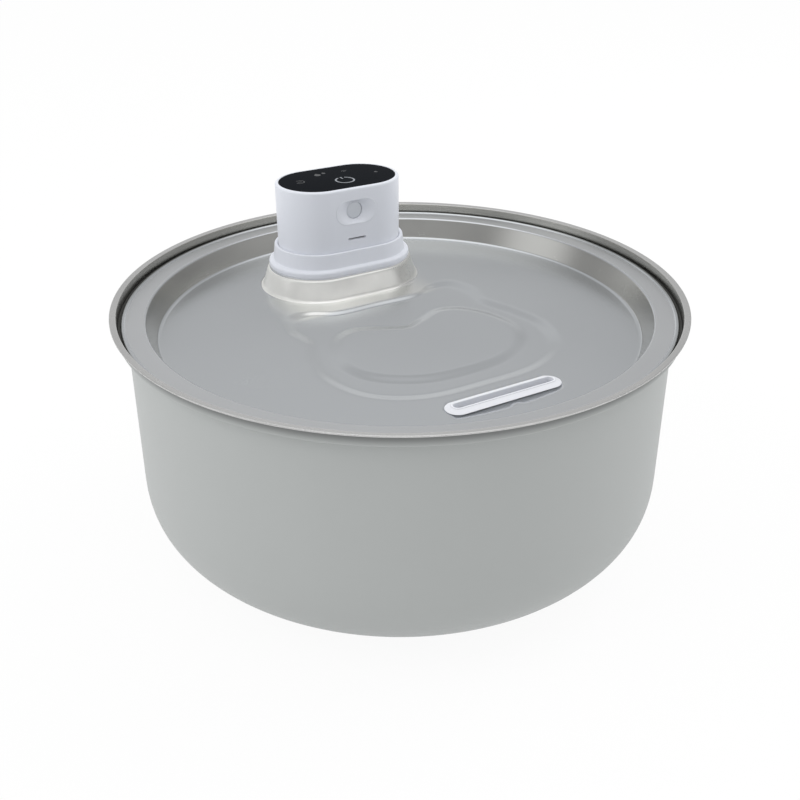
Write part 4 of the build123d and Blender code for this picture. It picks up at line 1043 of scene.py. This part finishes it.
def soft_weight(dot, inner, outer, low, high):
    """Smooth weight between two angles, in degrees, from a cosine."""
    soft = nodes.new("ShaderNodeMapRange")
    soft.interpolation_type = "SMOOTHSTEP"
    soft.inputs["From Min"].default_value = math.cos(math.radians(outer))
    soft.inputs["From Max"].default_value = math.cos(math.radians(inner))
    soft.inputs["To Min"].default_value = low
    soft.inputs["To Max"].default_value = high
    links.new(dot.outputs["Value"], soft.inputs["Value"])
    return soft.outputs["Result"]


def lobe(azimuth, elevation, inner, outer, low, high):
    """Soft round patch of the surround towards a direction; angles in degrees."""
    turn = math.radians(azimuth)
    rise = math.radians(elevation)
    dot = nodes.new("ShaderNodeVectorMath")
    dot.operation = "DOT_PRODUCT"
    run = math.cos(rise)
    dot.inputs[1].default_value = (math.sin(turn) * run, math.cos(turn) * run, math.sin(rise))
    links.new(place.outputs["Generated"], dot.inputs[0])
    return soft_weight(dot, inner, outer, low, high)


level_direction = nodes.new("ShaderNodeVectorMath")
level_direction.operation = "MULTIPLY"
level_direction.inputs[1].default_value = (1, 1, 0)
links.new(place.outputs["Generated"], level_direction.inputs[0])
heading = nodes.new("ShaderNodeVectorMath")
heading.operation = "NORMALIZE"
links.new(level_direction.outputs["Vector"], heading.inputs[0])


def quarter(azimuth, inner, outer):
    """Weight of the surround towards a heading, at any height; angles in degrees."""
    turn = math.radians(azimuth)
    dot = nodes.new("ShaderNodeVectorMath")
    dot.operation = "DOT_PRODUCT"
    dot.inputs[1].default_value = (math.sin(turn), math.cos(turn), 0)
    links.new(heading.outputs["Vector"], dot.inputs[0])
    return soft_weight(dot, inner, outer, 0, 1)


def blend_levels(factor, low, high):
    """Mix of two brightnesses; each may be a number or a socket."""
    mix = nodes.new("ShaderNodeMix")
    mix.data_type = "FLOAT"
    for name, value in (("Factor", factor), ("A", low), ("B", high)):
        if isinstance(value, (int, float)):
            mix.inputs[name].default_value = value
        else:
            links.new(value, mix.inputs[name])
    return mix.outputs["Result"]


def add_levels(first, second):
    """Sum of two brightnesses."""
    total = nodes.new("ShaderNodeMath")
    total.operation = "ADD"
    links.new(first, total.inputs[0])
    links.new(second, total.inputs[1])
    return total.outputs["Value"]


behind = height_ramp([
    (0, 0.82), (6, 0.82), (10, 0.79), (14, 0.7), (17, 0.56), (20, 0.48), (23, 0.465), (26, 0.51),
    (28, 0.6), (30, 0.7), (32, 0.72), (34, 0.6), (37, 0.5), (42, 0.46), (52, 0.46), (60, 1.0),
    (90, 1.15),
])
facing = height_ramp([
    (0, 1.2), (9, 1.2), (12, 0.78), (16, 0.48), (24, 0.43), (34, 0.43), (44, 0.45), (54, 1.15),
    (90, 1.15),
])
left_side = height_ramp([
    (0, 0.8), (3, 0.62), (8, 0.4), (15, 0.32), (25, 0.34), (48, 0.5), (60, 1.1), (90, 1.15),
])
right_side = height_ramp([
    (0, 0.36), (3, 0.28), (7, 0.24), (15, 0.4), (25, 0.44), (48, 0.45), (60, 1.1), (90, 1.15),
])
bands = blend_levels(quarter(-80, 40, 80), right_side, left_side)
bands = blend_levels(quarter(190, 45, 70), bands, facing)
bands = blend_levels(quarter(14, 15, 48), bands, behind)
bands = add_levels(bands, lobe(-77, 20, 4, 24, 0, 0.62))
plain = lobe(-150, 0, 20, 100, 0.95, 0.62)
paths = nodes.new("ShaderNodeLightPath")
level = blend_levels(paths.outputs["Is Glossy Ray"], plain, bands)
level = blend_levels(paths.outputs["Is Camera Ray"], level, 1.0)
links.new(level, surround.inputs["Strength"])


def soft_lamp(name, place, size, power):
    """Square soft lamp aimed at the fountain."""
    data = bpy.data.lights.new(name, "AREA")
    data.shape = "SQUARE"
    data.size = size
    data.energy = power
    lamp = bpy.data.objects.new(name, data)
    lamp.location = place
    lamp.rotation_mode = "QUATERNION"
    lamp.rotation_quaternion = (camera_aim - Vector(place)).to_track_quat("-Z", "Y")
    lamp.visible_glossy = False
    bpy.context.scene.collection.objects.link(lamp)


soft_lamp("lamp_left", (-1.5, 0.2, 1.2), 1.2, 8.4)
soft_lamp("lamp_right", (1.4, -0.1, 1.2), 1.2, 8)
